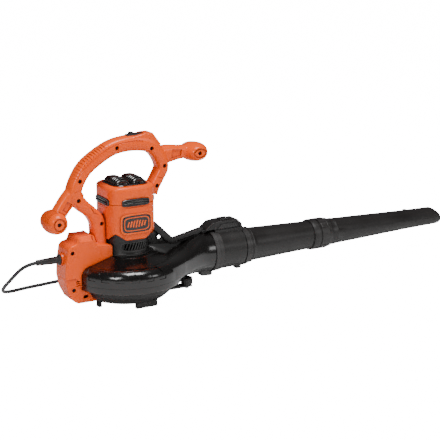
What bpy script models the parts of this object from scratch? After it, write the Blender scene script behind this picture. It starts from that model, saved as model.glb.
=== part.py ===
"""Corded leaf blower: round fan casing, loop handle with two cross grips, and a two-piece blow tube."""
import bpy
import bmesh
import math
from mathutils import Matrix, Vector

for old in list(bpy.data.objects):
    bpy.data.objects.remove(old, do_unlink=True)

# Driving sizes, in millimetres. The motor axis stands at X = Y = 0 and the floor is Z = 0.
ORIGIN_X = 307.0
ORIGIN_Y = 0.0
GAP = 0.3
WALL = 2.8

CASING_RADIUS = 113.0
CASING_BASE = 48.0
CASING_SEAM = 54.0
CASING_SHOULDER = 88.0
CASING_CROWN = 102.0
CASING_ROUND = 20.0
INTAKE_RADIUS = 62.0
DUCT_RADIUS = 42.5
DUCT_END = 196.0
TUBE_AXIS_Z = 74.0

SKIRT_RADIUS = 96.0
SKIRT_FOOT_RADIUS = 78.0
SKIRT_BOTTOM = 13.0
DOOR_RADIUS = 72.0
DOOR_THICK = 4.0
DOOR_HINGE_X = -66.0
DOOR_HINGE_Z = 18.0
FRONT_FOOT_X = (-13.0, 32.0)
FOOT_INNER_Y = 64.0
FOOT_TOP = 21.0
HINGE_LUG_Y = (14.0, 26.0)
KNOB_X = 121.0
KNOB_Y = -32.0
KNOB_RADIUS = 12.5

COVER_HALF = 50.0
COVER_CORNER = 22.0
COVER_BOTTOM = 135.5
COVER_SEAM = 208.0
COVER_TOP = 243.0
VENT_LENGTH = 60.0
VENT_HEIGHT = 15.0
VENT_Z = 211.0
COLLAR_RADIUS = 46.4
COLLAR_TOP = 150.0

LOOP_HALF_WIDTH = 18.0
LOOP_HALF_THICK = 15.0
GRIP_HALF_LENGTH = 30.0
FRONT_GRIP_RADIUS = 17.0
REAR_GRIP_RADIUS = 20.5
BODY_HALF_WIDTH = 27.0

SHAFT_RADIUS = 5.0
IMPELLER_RADIUS = 90.0
IMPELLER_BLADES = 9
ARMATURE_RADIUS = 24.0
CONNECTOR_END = 271.0
TUBE_END = 480.0
NOZZLE_END = 793.0
CORD_DIAMETER = 7.4
CORD_BORE = CORD_DIAMETER / 2 + 0.7
PLUG_Y = 172.0

root = bpy.data.objects.new("root_frame", None)
root.location = (-ORIGIN_X / 1000, -ORIGIN_Y / 1000, 0)
bpy.context.collection.objects.link(root)


def ring_solid(rings, closed=False):
    """Skin a list of equal rings. Open ends are capped; closed joins the last ring to the first."""
    work = bmesh.new()
    made = [[work.verts.new(Vector(p)) for p in ring] for ring in rings]
    count = len(made[0])
    pairs = list(zip(made[:-1], made[1:]))
    if closed:
        pairs.append((made[-1], made[0]))
    for first, second in pairs:
        for i in range(count):
            j = (i + 1) % count
            work.faces.new((first[i], first[j], second[j], second[i]))
    if not closed:
        work.faces.new(list(reversed(made[0])))
        work.faces.new(made[-1])
    return work


def finish_mesh(work, name):
    bmesh.ops.remove_doubles(work, verts=work.verts, dist=0.0005)
    bmesh.ops.recalc_face_normals(work, faces=work.faces)
    mesh = bpy.data.meshes.new(name)
    work.to_mesh(mesh)
    work.free()
    return mesh


def lathe(profile, steps=48, centre=(0.0, 0.0), axis="Z"):
    """Turn a closed profile of (radius, height) round the Z axis, or round the X axis at the tube height."""
    rings = []
    solid_ends = profile[0][0] == 0
    for radius, height in profile:
        ring = []
        for i in range(steps):
            angle = 2 * math.pi * i / steps
            u = radius * math.cos(angle)
            v = radius * math.sin(angle)
            if axis == "Z":
                ring.append((centre[0] + u, centre[1] + v, height))
            else:
                ring.append((height, centre[0] + u, centre[1] + v))
        rings.append(ring)
    if solid_ends:
        return finish_mesh(ring_solid(rings[1:-1]), "lathe")
    return finish_mesh(ring_solid(rings, closed=True), "lathe")


def rod(radius, start, end, steps=24, centre=(0.0, 0.0), axis="Z"):
    return lathe([(0, start), (radius, start), (radius, end), (0, end)], steps, centre, axis)


def pin_y(radius, x, z, y0, y1, steps=16):
    """A round bar along Y."""
    rings = []
    for y in (y0, y1):
        rings.append([(x + radius * math.cos(2 * math.pi * i / steps), y,
                       z + radius * math.sin(2 * math.pi * i / steps)) for i in range(steps)])
    return finish_mesh(ring_solid(rings), "pin")


def box(x0, x1, y0, y1, z0, z1):
    low = [(x0, y0, z0), (x1, y0, z0), (x1, y1, z0), (x0, y1, z0)]
    high = [(x, y, z1) for x, y, z in low]
    return finish_mesh(ring_solid([low, high]), "box")


def plate_xz(points, y0, y1, bevel=0.0, segments=3):
    """A flat outline in the XZ plane, given thickness along Y, its edges rounded."""
    work = ring_solid([[(x, y0, z) for x, z in points], [(x, y1, z) for x, z in points]])
    bmesh.ops.recalc_face_normals(work, faces=work.faces)
    work.normal_update()
    if bevel:
        rims = [e for e in work.edges if abs(e.verts[0].co.y - e.verts[1].co.y) < 0.001]
        bmesh.ops.bevel(work, geom=rims, offset=bevel, segments=segments, profile=0.5, affect="EDGES")
    bmesh.ops.recalc_face_normals(work, faces=work.faces)
    work.normal_update()
    bmesh.ops.triangulate(work, faces=[f for f in work.faces if len(f.verts) > 4])
    return finish_mesh(work, "plate")


def curve_through(points, per_span=6):
    """A smooth Catmull-Rom line through points of any dimension."""
    ends = [points[0]] + list(points) + [points[-1]]
    line = []
    for i in range(1, len(ends) - 2):
        a, b, c, d = ends[i - 1], ends[i], ends[i + 1], ends[i + 2]
        for k in range(per_span):
            t = k / per_span
            line.append(tuple(
                0.5 * (2 * q + (r - p) * t + (2 * p - 5 * q + 4 * r - s) * t * t
                       + (3 * q - p - 3 * r + s) * t ** 3)
                for p, q, r, s in zip(a, b, c, d)))
    line.append(tuple(points[-1]))
    return line


def rounded(angle, half_a, half_b, power):
    """A point of a softened rectangle with the given half sizes."""
    c = math.cos(angle)
    s = math.sin(angle)
    return (half_a * math.copysign(abs(c) ** (2 / power), c),
        half_b * math.copysign(abs(s) ** (2 / power), s))


def bar_xz(path, shrink=0.0, steps=12, power=3.4, per_span=2, trim=0.0):
    """A bar following a path of (x, z, half thickness, half width) in the plane Y = 0."""
    line = curve_through(path, per_span)
    rings = []
    for i, (x, z, thick, width) in enumerate(line):
        a = line[max(i - 1, 0)]
        b = line[min(i + 1, len(line) - 1)]
        along = Vector((b[0] - a[0], b[1] - a[1])).normalized()
        side = Vector((-along.y, along.x))
        shift = Vector((0, 0))
        if i == 0:
            shift = along * trim
        if i == len(line) - 1:
            shift = -along * trim
        ring = []
        for k in range(steps):
            u, v = rounded(2 * math.pi * (k + 0.5) / steps, thick - shrink, width - shrink, power)
            ring.append((x + shift.x + side.x * u, v, z + shift.y + side.y * u))
        rings.append(ring)
    return finish_mesh(ring_solid(rings), "bar")


def grip_y(x, z, radius, half_length, shrink=0.0, steps=16, stretch=1.0):
    """A cross grip lying along Y, its ends rounded over."""
    profile = []
    reach = half_length - shrink
    size = radius - shrink
    for y, r in ((-1.0, 0.70), (-0.95, 0.86), (-0.82, 0.97), (-0.5, 1.0), (0, 1.0),
                 (0.5, 1.0), (0.82, 0.97), (0.95, 0.86), (1.0, 0.70)):
        profile.append((y * reach, r * size))
    rings = [[(x + stretch * r * math.cos(2 * math.pi * k / steps), y,
        z + r * math.sin(2 * math.pi * k / steps))
              for k in range(steps)] for y, r in profile]
    return finish_mesh(ring_solid(rings), "grip")


def square_ring(half, corner, height, steps=32, lift=0.0):
    """A ring of a rounded square at a height, its corners raised by lift."""
    ring = []
    power = 2 + 3.4 * (1 - corner / half)
    for i in range(steps):
        angle = 2 * math.pi * (i + 0.5) / steps
        x, y = rounded(angle, half, half, power)
        toward_corner = abs(math.sin(2 * math.atan2(y, x)))
        ring.append((x, y, height + lift * max(0.0, toward_corner * 1.3 - 0.3)))
    return ring


def join(meshes):
    """Put separate, non-touching meshes in one."""
    work = bmesh.new()
    for mesh in meshes:
        work.from_mesh(mesh)
    return finish_mesh(work, "joined")


def combine(base, tool, how):
    """Boolean of two meshes with the exact solver."""
    first = bpy.data.objects.new("first", base)
    second = bpy.data.objects.new("second", tool)
    bpy.context.collection.objects.link(first)
    bpy.context.collection.objects.link(second)
    mod = first.modifiers.new("cut", "BOOLEAN")
    mod.object = second
    mod.operation = how
    mod.solver = "EXACT"
    bpy.context.view_layer.update()
    graph = bpy.context.evaluated_depsgraph_get()
    result = bpy.data.meshes.new_from_object(first.evaluated_get(graph))
    bpy.data.objects.remove(first, do_unlink=True)
    bpy.data.objects.remove(second, do_unlink=True)
    work = bmesh.new()
    work.from_mesh(result)
    bmesh.ops.remove_doubles(work, verts=work.verts, dist=0.002)
    bmesh.ops.dissolve_degenerate(work, edges=work.edges, dist=0.002)
    return finish_mesh(work, "combined")


def cut(base, *tools):
    for tool in tools:
        base = combine(base, tool, "DIFFERENCE")
    return base


def fuse(base, *tools):
    for tool in tools:
        base = combine(base, tool, "UNION")
    return base


def colour(name, rgb, rough, metal=0.0):
    mat = bpy.data.materials.new(name)
    mat.use_nodes = True
    shader = mat.node_tree.nodes["Principled BSDF"]
    shader.inputs["Base Color"].default_value = (rgb[0], rgb[1], rgb[2], 1)
    shader.inputs["Roughness"].default_value = rough
    shader.inputs["Metallic"].default_value = metal
    return mat


ORANGE = ((0.82, 0.13, 0.015), 0.4, 0.0)
BLACK = ((0.03, 0.028, 0.028), 0.45, 0.0)
STEEL = ((0.55, 0.55, 0.55), 0.3, 1.0)
COPPER = ((0.72, 0.30, 0.12), 0.35, 1.0)
BRASS = ((0.75, 0.55, 0.22), 0.3, 1.0)
CARBON = ((0.05, 0.05, 0.055), 0.8, 0.0)

pivots = {}


def pivot(name, x, y, z, parent=None):
    """An empty on a joint axis that carries the moving pieces."""
    empty = bpy.data.objects.new(name, None)
    above = pivots[parent] if parent else (root, (0.0, 0.0, 0.0))
    empty.parent = above[0]
    base = above[1]
    empty.location = ((x - base[0]) / 1000, (y - base[1]) / 1000, (z - base[2]) / 1000)
    bpy.context.collection.objects.link(empty)
    pivots[name] = (empty, (x, y, z))


def piece(name, mesh, look, carrier=None, smooth=True):
    """Turn a mesh in millimetres into a named part on the root or on a pivot."""
    above, base = pivots[carrier] if carrier else (root, (0.0, 0.0, 0.0))
    mesh.transform(Matrix.Scale(0.001, 4) @ Matrix.Translation(-Vector(base)))
    mesh.materials.clear()
    mesh.materials.append(colour(name + "_finish", *look))
    if smooth:
        mesh.shade_smooth()
        mesh.set_sharp_from_angle(angle=math.radians(35))
    part = bpy.data.objects.new(name, mesh)
    part.parent = above
    bpy.context.collection.objects.link(part)
    return part


pivot("fan_axis", 0, 0, TUBE_AXIS_Z)
pivot("slider_track", 15, 0, 338)
pivot("tube_track", DUCT_END, 0, TUBE_AXIS_Z)
pivot("button_track", 226, 0, 130, "tube_track")
pivot("nozzle_track", TUBE_END, 0, TUBE_AXIS_Z, "tube_track")
pivot("door_hinge", DOOR_HINGE_X, 0, DOOR_HINGE_Z)
pivot("knob_axis", KNOB_X, KNOB_Y, 30, "door_hinge")

# ---- fan casing: a round shell that opens into the outlet duct, split at the seam


def casing_profile(grow):
    """Closed half outline of the fan casing, grown outwards by grow."""
    rim = CASING_RADIUS + grow
    turn = CASING_ROUND + grow
    points = [(0, CASING_BASE - grow), (rim - 4, CASING_BASE - grow), (rim, CASING_BASE + 4 - grow)]
    for k in range(4):
        angle = math.radians(90 * k / 3)
        points.append((rim - turn + turn * math.cos(angle),
                       CASING_SHOULDER - CASING_ROUND + turn * math.sin(angle)))
    points += [(COVER_HALF, CASING_CROWN + grow), (0, CASING_CROWN + grow)]
    return points


DUCT_STATIONS = [
    (20, 106, 49, 91, 7.0),
    (60, 95, 49, 91, 6.0),
    (90, 79, 48.5, 92.5, 5.0),
    (104, 69, 47.5, 93.5, 4.4),
    (120, 60, 42, 95, 3.8),
    (147, 47, 36, 103, 2.8),
    (172, DUCT_RADIUS, TUBE_AXIS_Z - DUCT_RADIUS, TUBE_AXIS_Z + DUCT_RADIUS, 2.0),
    (DUCT_END - 0.4, DUCT_RADIUS, TUBE_AXIS_Z - DUCT_RADIUS, TUBE_AXIS_Z + DUCT_RADIUS, 2.0),
]


def duct_solid(shrink, extra):
    rings = []
    for x, half, low, high, power in curve_through(DUCT_STATIONS, 1):
        ring = []
        for k in range(24):
            u, v = rounded(2 * math.pi * (k + 0.5) / 24, half - shrink, (high - low) / 2 - shrink, power)
            ring.append((x, u, (high + low) / 2 + v))
        rings.append(ring)
    if extra:
        rings.append([(DUCT_END + extra, p[1], p[2]) for p in rings[-1]])
    return finish_mesh(ring_solid(rings), "duct")


casing_outer = fuse(lathe(casing_profile(0), 32), duct_solid(0, 0))
casing_outer = fuse(casing_outer, rod(DUCT_RADIUS + 2.0, DUCT_END - 9, DUCT_END, 32, (0, TUBE_AXIS_Z),
    "X"))
casing_inner = fuse(lathe(casing_profile(-WALL), 32), duct_solid(WALL, 3))
casing = cut(casing_outer, casing_inner)
below_seam = box(-300, 300, -200, 200, 0, CASING_SEAM)
above_seam = box(-300, 300, -200, 200, CASING_SEAM, 200)
hub = fuse(rod(16, 96, 124, 24), rod(24, 97, 100.5, 24))
upper = combine(casing.copy(), above_seam, "INTERSECT")
upper = fuse(upper, hub)
upper = cut(upper, rod(7, 60, 140, 16), rod(11.5, 111, 140, 24))
lower = combine(casing, box(-300, 300, -200, 200, 0, CASING_SEAM - GAP), "INTERSECT")
lower = cut(lower, rod(INTAKE_RADIUS, 30, 60, 28))
piece("fan_casing_upper", upper, BLACK)
piece("fan_casing_lower", lower, BLACK)

# ---- intake skirt with four feet, under the casing
skirt = lathe([(SKIRT_FOOT_RADIUS, SKIRT_BOTTOM), (88, 21), (SKIRT_RADIUS - 1, 34), (SKIRT_RADIUS,
    CASING_BASE - GAP),
               (66, CASING_BASE - GAP), (66, 44), (SKIRT_RADIUS - 4.5, 44), (SKIRT_RADIUS - 4.5, 35),
               (84.5, 23), (SKIRT_FOOT_RADIUS - 3, 17), (SKIRT_FOOT_RADIUS - 3, SKIRT_BOTTOM)], 28)
for side in (-1, 1):
    skirt = fuse(skirt, box(*FRONT_FOOT_X, *sorted((side * FOOT_INNER_Y, side * (FOOT_INNER_Y + 10))),
        0, FOOT_TOP))
skirt = cut(skirt, rod(DOOR_RADIUS + 1.2, 10, 43, 28))
for side in (-1, 1):
    lug_y = sorted((side * HINGE_LUG_Y[0], side * HINGE_LUG_Y[1]))
    skirt = fuse(skirt, box(DOOR_HINGE_X - 8.5, DOOR_HINGE_X - 1.5, *lug_y, 0, FOOT_TOP + 2))
    skirt = fuse(skirt, box(DOOR_HINGE_X - 6, DOOR_HINGE_X + 5, *lug_y, DOOR_HINGE_Z - 4.6, FOOT_TOP + 2))
skirt = cut(skirt, box(60, 140, -46, -18, 5, 31))
skirt = cut(skirt, pin_y(2.3, DOOR_HINGE_X, DOOR_HINGE_Z, -33, 33))
piece("intake_skirt", skirt, BLACK)

# ---- intake door: slatted disc hinged at the rear, with a lug for the thumb screw
door = rod(DOOR_RADIUS - 1, 16, 16 + DOOR_THICK, 28)
for side in (-1, 1):
    door = cut(door, box(-80, DOOR_HINGE_X + 10, *sorted((side * (HINGE_LUG_Y[0] - 2),
        side * (HINGE_LUG_Y[1] + 14))), 10, 30))
    door = cut(door, box(-40, 40, *sorted((side * (FOOT_INNER_Y - 0.8), side * 80)), 10, 30))
door = fuse(door, box(60, KNOB_X + 8, KNOB_Y - 10, KNOB_Y + 10, 16, 19.6))
door = fuse(door, pin_y(4.5, DOOR_HINGE_X, DOOR_HINGE_Z, -11, 11))
slots = []
for row in range(-3, 4):
    reach = math.sqrt(max(0, 54 ** 2 - (row * 15) ** 2))
    for side in (-1, 1):
        if reach > 14:
            slots.append(box(min(side * 3, side * reach), max(side * 3, side * reach),
                             row * 15 - 5, row * 15 + 5, 10, 30))
door = cut(door, join(slots))
door = cut(door, pin_y(2.3, DOOR_HINGE_X, DOOR_HINGE_Z, -20, 20))
door = cut(door, rod(3.4, 5, 40, 12, (KNOB_X, KNOB_Y)))
piece("intake_door", door, BLACK, "door_hinge")
piece("door_hinge_pin", pin_y(2.0, DOOR_HINGE_X, DOOR_HINGE_Z, -32, 32), STEEL)

knob_ring = []
for height, scale in ((20.0, 0.92), (21.5, 1.0), (33.5, 1.0), (35.0, 0.92)):
    knob_ring.append([(KNOB_X + scale * (KNOB_RADIUS - 0.8 * (k % 2)) * math.cos(2 * math.pi * k / 36),
                       KNOB_Y + scale * (KNOB_RADIUS - 0.8 * (k % 2)) * math.sin(2 * math.pi * k / 36),
                           height)
                      for k in range(36)])
knob = fuse(finish_mesh(ring_solid(knob_ring), "knob"), rod(3.0, 13, 22, 12, (KNOB_X, KNOB_Y)),
            rod(4.6, 11.6, 15.6, 12, (KNOB_X, KNOB_Y)))
piece("door_knob", knob, BLACK, "knob_axis")

# ---- motor collar between the casing and the motor cover
collar = lathe([(COLLAR_RADIUS + 3, CASING_CROWN + GAP), (COLLAR_RADIUS + 3, 107), (COLLAR_RADIUS, 109),
                (COLLAR_RADIUS, COLLAR_TOP), (COLLAR_RADIUS - 3, COLLAR_TOP), (COLLAR_RADIUS - 3,
                    CASING_CROWN + GAP)], 28)
grille = []
for side in (-1, 1):
    for k in range(4):
        grille.append(box(-17 + k * 9, -12 + k * 9, min(side * 40, side * 60), max(side * 40,
            side * 60), 111, 126))
collar = cut(collar, join(grille))
piece("motor_collar", collar, BLACK)

# ---- motor cover: two rounded square shells meeting at a level seam, with vents let into the seam
inner_half = COVER_HALF - WALL
cover_low = finish_mesh(ring_solid([
    square_ring(COVER_HALF - 2, COVER_CORNER, COVER_BOTTOM, lift=14),
    square_ring(COVER_HALF, COVER_CORNER, COVER_BOTTOM + 6, lift=12),
    square_ring(COVER_HALF, COVER_CORNER, COVER_SEAM - GAP),
    square_ring(inner_half, COVER_CORNER - WALL, COVER_SEAM - GAP),
    square_ring(inner_half, COVER_CORNER - WALL, COVER_BOTTOM + 1, lift=14),
], closed=True), "cover")
cover_top = finish_mesh(ring_solid([
    square_ring(COVER_HALF, COVER_CORNER, COVER_SEAM),
    square_ring(COVER_HALF, COVER_CORNER, COVER_TOP - 8),
    square_ring(COVER_HALF - 2, COVER_CORNER, COVER_TOP - 2.5),
    square_ring(COVER_HALF - 6, COVER_CORNER, COVER_TOP),
    square_ring(38, 14, COVER_TOP),
    square_ring(38, 14, COVER_TOP - 7),
    square_ring(COVER_HALF - 6, COVER_CORNER - WALL, COVER_TOP - 7.5),
    square_ring(inner_half, COVER_CORNER - WALL, COVER_TOP - 11),
    square_ring(inner_half, COVER_CORNER - WALL, COVER_SEAM),
], closed=True), "cover")
half_length = VENT_LENGTH / 2
vent_slots = [box(-half_length, half_length, -60, 60, VENT_Z - VENT_HEIGHT / 2, VENT_Z + VENT_HEIGHT / 2),
              box(-60, 60, -half_length, half_length, VENT_Z - VENT_HEIGHT / 2, VENT_Z + VENT_HEIGHT / 2)]
cover_low = cut(cover_low, *[m.copy() for m in vent_slots])
cover_top = cut(cover_top, *vent_slots)
piece("motor_cover_lower", cover_low, ORANGE)
piece("motor_cover_top", cover_top, ORANGE)

for name, turn in (("side_vent_right", 0), ("side_vent_front", 90), ("side_vent_left", 180),
    ("side_vent_rear", 270)):
    low = VENT_Z - VENT_HEIGHT / 2 + GAP
    high = VENT_Z + VENT_HEIGHT / 2 - GAP
    frame = plate_xz([(-half_length + GAP, low), (half_length - GAP, low),
                      (half_length - GAP, high), (-half_length + GAP, high)], -51.5, -46.0, 1.2, 2)
    frame = cut(frame, join([box(-26, 26, -70, -40, low + 1.8, low + 5.2),
                             box(-26, 26, -70, -40, high - 5.2, high - 1.8)]))
    frame.transform(Matrix.Rotation(math.radians(turn), 4, "Z"))
    piece(name, frame, BLACK)

badge = plate_xz([(-28, 151), (28, 151), (31, 154), (31, 183), (28, 186), (-28, 186),
                  (-31, 183), (-31, 154)], -COVER_HALF - GAP - 2.2, -COVER_HALF - GAP, 0.6, 2)
piece("badge_plate", badge, BLACK)

dome = finish_mesh(ring_solid([
    square_ring(35.5, 12, COVER_TOP - 12, 24), square_ring(37.4, 12, COVER_TOP - 6, 24),
    square_ring(37.4, 12, COVER_TOP + 2, 24), square_ring(35.0, 12, COVER_TOP + 8, 24),
    square_ring(29.0, 10, COVER_TOP + 12, 24), square_ring(18.0, 6, COVER_TOP + 13.5, 24)]), "dome")
dome = cut(dome, box(-2.5, 2.5, -60, 60, COVER_TOP + 6, COVER_TOP + 30))
dome = cut(dome, finish_mesh(ring_solid([
    square_ring(32.0, 10, COVER_TOP - 20, 24), square_ring(32.0, 10, COVER_TOP + 2, 24),
    square_ring(26.0, 8, COVER_TOP + 4.0, 24)]), "hollow"))
louvres = [box(side * 18 - 11, side * 18 + 11, y, y + 4, COVER_TOP - 4, COVER_TOP + 30)
           for side in (-1, 1) for y in (-19, -6, 7)]
dome = cut(dome, join(louvres))
piece("top_vent", dome, BLACK)

# ---- handle housing: loop, two cross grips and rear body as one clamshell, split at Y = 0
W = LOOP_HALF_WIDTH
T = LOOP_HALF_THICK
LOOP_PATH = [
    (-62, 116, T, W - 1), (-62, 148, T, W - 1), (-64, 172, T, W - 1), (-78, 192, 12.5, W), (-96, 208,
        13.5, W),
    (-110, 227, T, W), (-107, 248, 14, W), (-91, 275, 14.5, W), (-70, 293, T, W), (-34, 313, T, W),
    (-3, 320, T + 0.5, W), (28, 320, T + 1, W), (53, 313, T, W), (70, 296, 13.5, W), (81, 268, 12.5, W),
    (72, 247, 12, W - 1), (62, 230, 12, W - 1), (57, 214, 11.5, W - 2),
]
FRONT_ARM = [(74, 289, 19, 15), (95, 291, 18, 14.5), (122, 292, 14, 14), (150, 291, 13, 14)]
REAR_ARM = [(-102, 240, 17, 15), (-122, 222, 15.5, 14.5), (-138, 202, 14.5, 14), (-152, 182, 14.5, 14)]
FRONT_GRIP = (156, 290)
REAR_GRIP = (-153, 180)
FRONT_GRIP_STRETCH = 1.25
BODY_OUTLINE = [
    (-136, 127), (-131, 133), (-118, 136), (-114, 149), (-80, 149), (-75, 131), (-39, 125), (-34, 119),
    (-34, 98), (-66, 60), (-68, 14), (-118, 14), (-127, 20), (-138, 42), (-143, 68), (-141, 98),
]


def body_hollow():
    """The hollow of the rear body, kept one wall clear of the casing and skirt."""
    back_wall = [(x + WALL + 0.4, z) for x, z in ((-136, 124), (-143, 68), (-138, 44), (-128, 22))]
    rim = -(CASING_RADIUS + WALL + 1.4)
    skirt = -(SKIRT_RADIUS + WALL + 1.4)
    right = [
        (-118, 14 + WALL), (skirt + 8, 14 + WALL), (skirt + 5, 21), (skirt, 36), (skirt,
            CASING_BASE - WALL - 1.4),
        (rim, CASING_BASE - WALL - 1.4), (rim, CASING_SHOULDER - CASING_ROUND), (rim + 9, 85), (-93,
            93.5), (-57, 105.5),
        (-57, 123), (-77, 127), (-83, 149 - WALL), (-111, 149 - WALL), (-116, 133), (-128, 130),
    ]
    return plate_xz(back_wall + right, -BODY_HALF_WIDTH + WALL, BODY_HALF_WIDTH - WALL)


def neighbours(grow):
    """What the housing must clear, grown by grow: the fan casing, the skirt and the motor cover."""
    round_part = lathe([(0, SKIRT_BOTTOM - grow), (SKIRT_FOOT_RADIUS + grow, SKIRT_BOTTOM - grow),
        (88 + grow, 21 - grow),
                        (SKIRT_RADIUS - 1 + grow, 34 - grow), (SKIRT_RADIUS + grow, CASING_BASE - grow)]
                       + casing_profile(grow)[1:-1]
                       + [(COVER_HALF + grow, COVER_BOTTOM - 2), (0, COVER_BOTTOM - 2)], 32)
    cover_part = finish_mesh(ring_solid([square_ring(COVER_HALF + grow, COVER_CORNER, 133),
                                         square_ring(COVER_HALF + grow, COVER_CORNER,
                                             COVER_TOP + grow)]), "room")
    return round_part, cover_part


corner_wedge = plate_xz([(10, 334), (42, 340), (57, 340), (76, 314), (62, 302), (24, 312)], -W + 2,
    W - 2, 3, 2)
shell_parts = [
    bar_xz(FRONT_ARM), bar_xz(REAR_ARM),
    grip_y(*FRONT_GRIP, FRONT_GRIP_RADIUS, GRIP_HALF_LENGTH, stretch=FRONT_GRIP_STRETCH),
    grip_y(*REAR_GRIP, REAR_GRIP_RADIUS, GRIP_HALF_LENGTH),
    plate_xz(BODY_OUTLINE, -BODY_HALF_WIDTH, BODY_HALF_WIDTH, 3.0, 2), corner_wedge,
]
shell = fuse(bar_xz(LOOP_PATH), *shell_parts)
shell = cut(shell, *neighbours(0.4))
hollow_parts = [
    bar_xz(LOOP_PATH, WALL, steps=8, per_span=1, trim=-12), bar_xz(FRONT_ARM, WALL, steps=8, per_span=1),
    bar_xz(REAR_ARM, WALL, steps=8, per_span=1),
    grip_y(*FRONT_GRIP, FRONT_GRIP_RADIUS, GRIP_HALF_LENGTH, WALL, 8, FRONT_GRIP_STRETCH),
    grip_y(*REAR_GRIP, REAR_GRIP_RADIUS, GRIP_HALF_LENGTH, WALL, 8),
]
keep_wall = neighbours(WALL + 0.4)
hollow_parts = [cut(part, *[m.copy() for m in keep_wall]) for part in hollow_parts]
hollow_parts.append(body_hollow())

SCREWS = [
    ("front_top", 53, 308, W), ("top", -23, 316, W), ("front", 81, 270, W), ("front_low", 64, 231, W - 1),
    ("rear_top", -103, 258, W), ("rear", -107, 220, W), ("leg", -59, 168, W - 1), ("body_top", -127,
        119, BODY_HALF_WIDTH),
    ("body_low", -126, 43, BODY_HALF_WIDTH), ("front_grip", FRONT_GRIP[0], FRONT_GRIP[1],
        GRIP_HALF_LENGTH),
    ("rear_grip", REAR_GRIP[0], REAR_GRIP[1], GRIP_HALF_LENGTH),
]
SCREW_HEAD_DEPTH = 7.0


def housing_half(side):
    half = combine(shell.copy(), box(-300, 300, min(side * GAP / 2, side * 90), max(side * GAP / 2,
        side * 90), -10, 400),
                   "INTERSECT")
    half = cut(half, *[m.copy() for m in hollow_parts])
    posts = [pin_y(6.2, x, z, *sorted((side * GAP / 2, side * (w - 1.5))), 8) for _, x, z, w in SCREWS]
    half = fuse(half, join(posts))
    if side < 0:
        holes = [pin_y(4.2, x, z, -w - 5, -w + SCREW_HEAD_DEPTH, 10) for _, x, z, w in SCREWS]
        bores = [pin_y(2.3, x, z, -w + SCREW_HEAD_DEPTH - 1, 1, 8) for _, x, z, w in SCREWS]
    else:
        holes = [pin_y(2.3, x, z, -1, 9, 8) for _, x, z, w in SCREWS]
        bores = []
    half = cut(half, join(holes))
    if bores:
        half = cut(half, join(bores))
    half = cut(half, box(4, 40, -9, 9, 331.7, 360), box(8, 36, -7.5, 7.5, 316, 340))
    half = cut(half, box(40, 52.2, -31, 31, 203, 219.2))
    half = cut(half, rod(8.0, -190, -120, 16, (0, 103), "X"))
    return half


piece("housing_right", housing_half(-1), ORANGE)
piece("housing_left", housing_half(1), ORANGE)

for name, x, z, w in SCREWS:
    seat = -w + SCREW_HEAD_DEPTH - GAP
    screw = fuse(pin_y(3.6, x, z, seat - 2.6, seat, 10), pin_y(1.7, x, z, seat - 0.5, 8.5, 6))
    piece("screw_" + name, screw, STEEL)

# ---- speed switch let into the top of the handle
bezel = cut(box(4.4, 39.6, -8.6, 8.6, 332, 338.5), box(8, 36, -4, 4, 325, 345))
piece("switch_bezel", bezel, BLACK)
slider = fuse(box(9, 22, -3.6, 3.6, 332.3, 340), box(11, 20, -6, 6, 339, 342.5))
piece("speed_slider", slider, BLACK, "slider_track")
piece("switch_body", box(9, 35, -7.1, 7.1, 314, 331.6), BLACK)

# ---- outlet brace: strap and rail over the duct
brace = plate_xz([(52.5, 160), (64, 154), (106, 113), (175, 127), (175, 120), (161, 113.5), (150, 108),
    (110, 101), (98, 101),
                  (86, 112), (58, 140), (52.5, 146)], -7, 7, 1.0, 2)
web = plate_xz([(54, 105.5), (98, 102), (104, 108), (80, 130), (54, 150)], 1, 5)
web = cut(web, pin_y(5.5, 76, 120, -10, 10, 24))
brace = fuse(brace, web)
piece("outlet_brace", brace, BLACK)

# ---- motor, on the fan axis
stator = lathe([(40, 152), (40, 190), (26, 190), (26, 152)], 32)
piece("stator_core", stator, STEEL)
piece("field_winding_upper", lathe([(38, 190.4), (38, 199), (35, 202), (29, 202), (27, 199), (27,
    190.4)], 24), COPPER)
piece("field_winding_lower", lathe([(38, 151.6), (38, 144), (35, 141), (29, 141), (27, 144), (27,
    151.6)], 24), COPPER)
piece("lower_bearing", lathe([(11, 112), (11, 121), (SHAFT_RADIUS + GAP, 121), (SHAFT_RADIUS + GAP,
    112)], 24), STEEL)
piece("upper_bearing", lathe([(11, 226), (11, 234), (SHAFT_RADIUS + GAP, 234), (SHAFT_RADIUS + GAP,
    226)], 24), STEEL)
bracket = cut(box(-30, 30, -13, 13, 222, 234.6), rod(11.5, 225.6, 240, 24), rod(9, 215, 240, 24))
piece("bearing_bracket", bracket, BLACK)
for side, tag in ((-1, "rear"), (1, "front")):
    holder = cut(box(*sorted((side * 17, side * 36)), -6, 6, 207, 219),
                 box(*sorted((side * 10, side * 34)), -3.6, 3.6, 209, 217))
    piece("brush_holder_" + tag, holder, BRASS)
    piece("brush_" + tag, box(*sorted((side * 14.4, side * 30)), -3.2, 3.2, 209.4, 216.6), CARBON)

piece("motor_shaft", rod(SHAFT_RADIUS, 44, 237, 20), STEEL, "fan_axis")
core = lathe([(ARMATURE_RADIUS, 152), (ARMATURE_RADIUS, 190), (SHAFT_RADIUS + GAP, 190),
    (SHAFT_RADIUS + GAP, 152)], 36)
grooves = []
for k in range(12):
    groove = box(19, 30, -1.2, 1.2, 145, 195)
    groove.transform(Matrix.Rotation(2 * math.pi * k / 12, 4, "Z"))
    grooves.append(groove)
piece("armature", cut(core, join(grooves)), COPPER, "fan_axis")
piece("commutator", lathe([(14, 206), (14, 220), (SHAFT_RADIUS + GAP, 220), (SHAFT_RADIUS + GAP, 206)],
    24), BRASS, "fan_axis")

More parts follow.
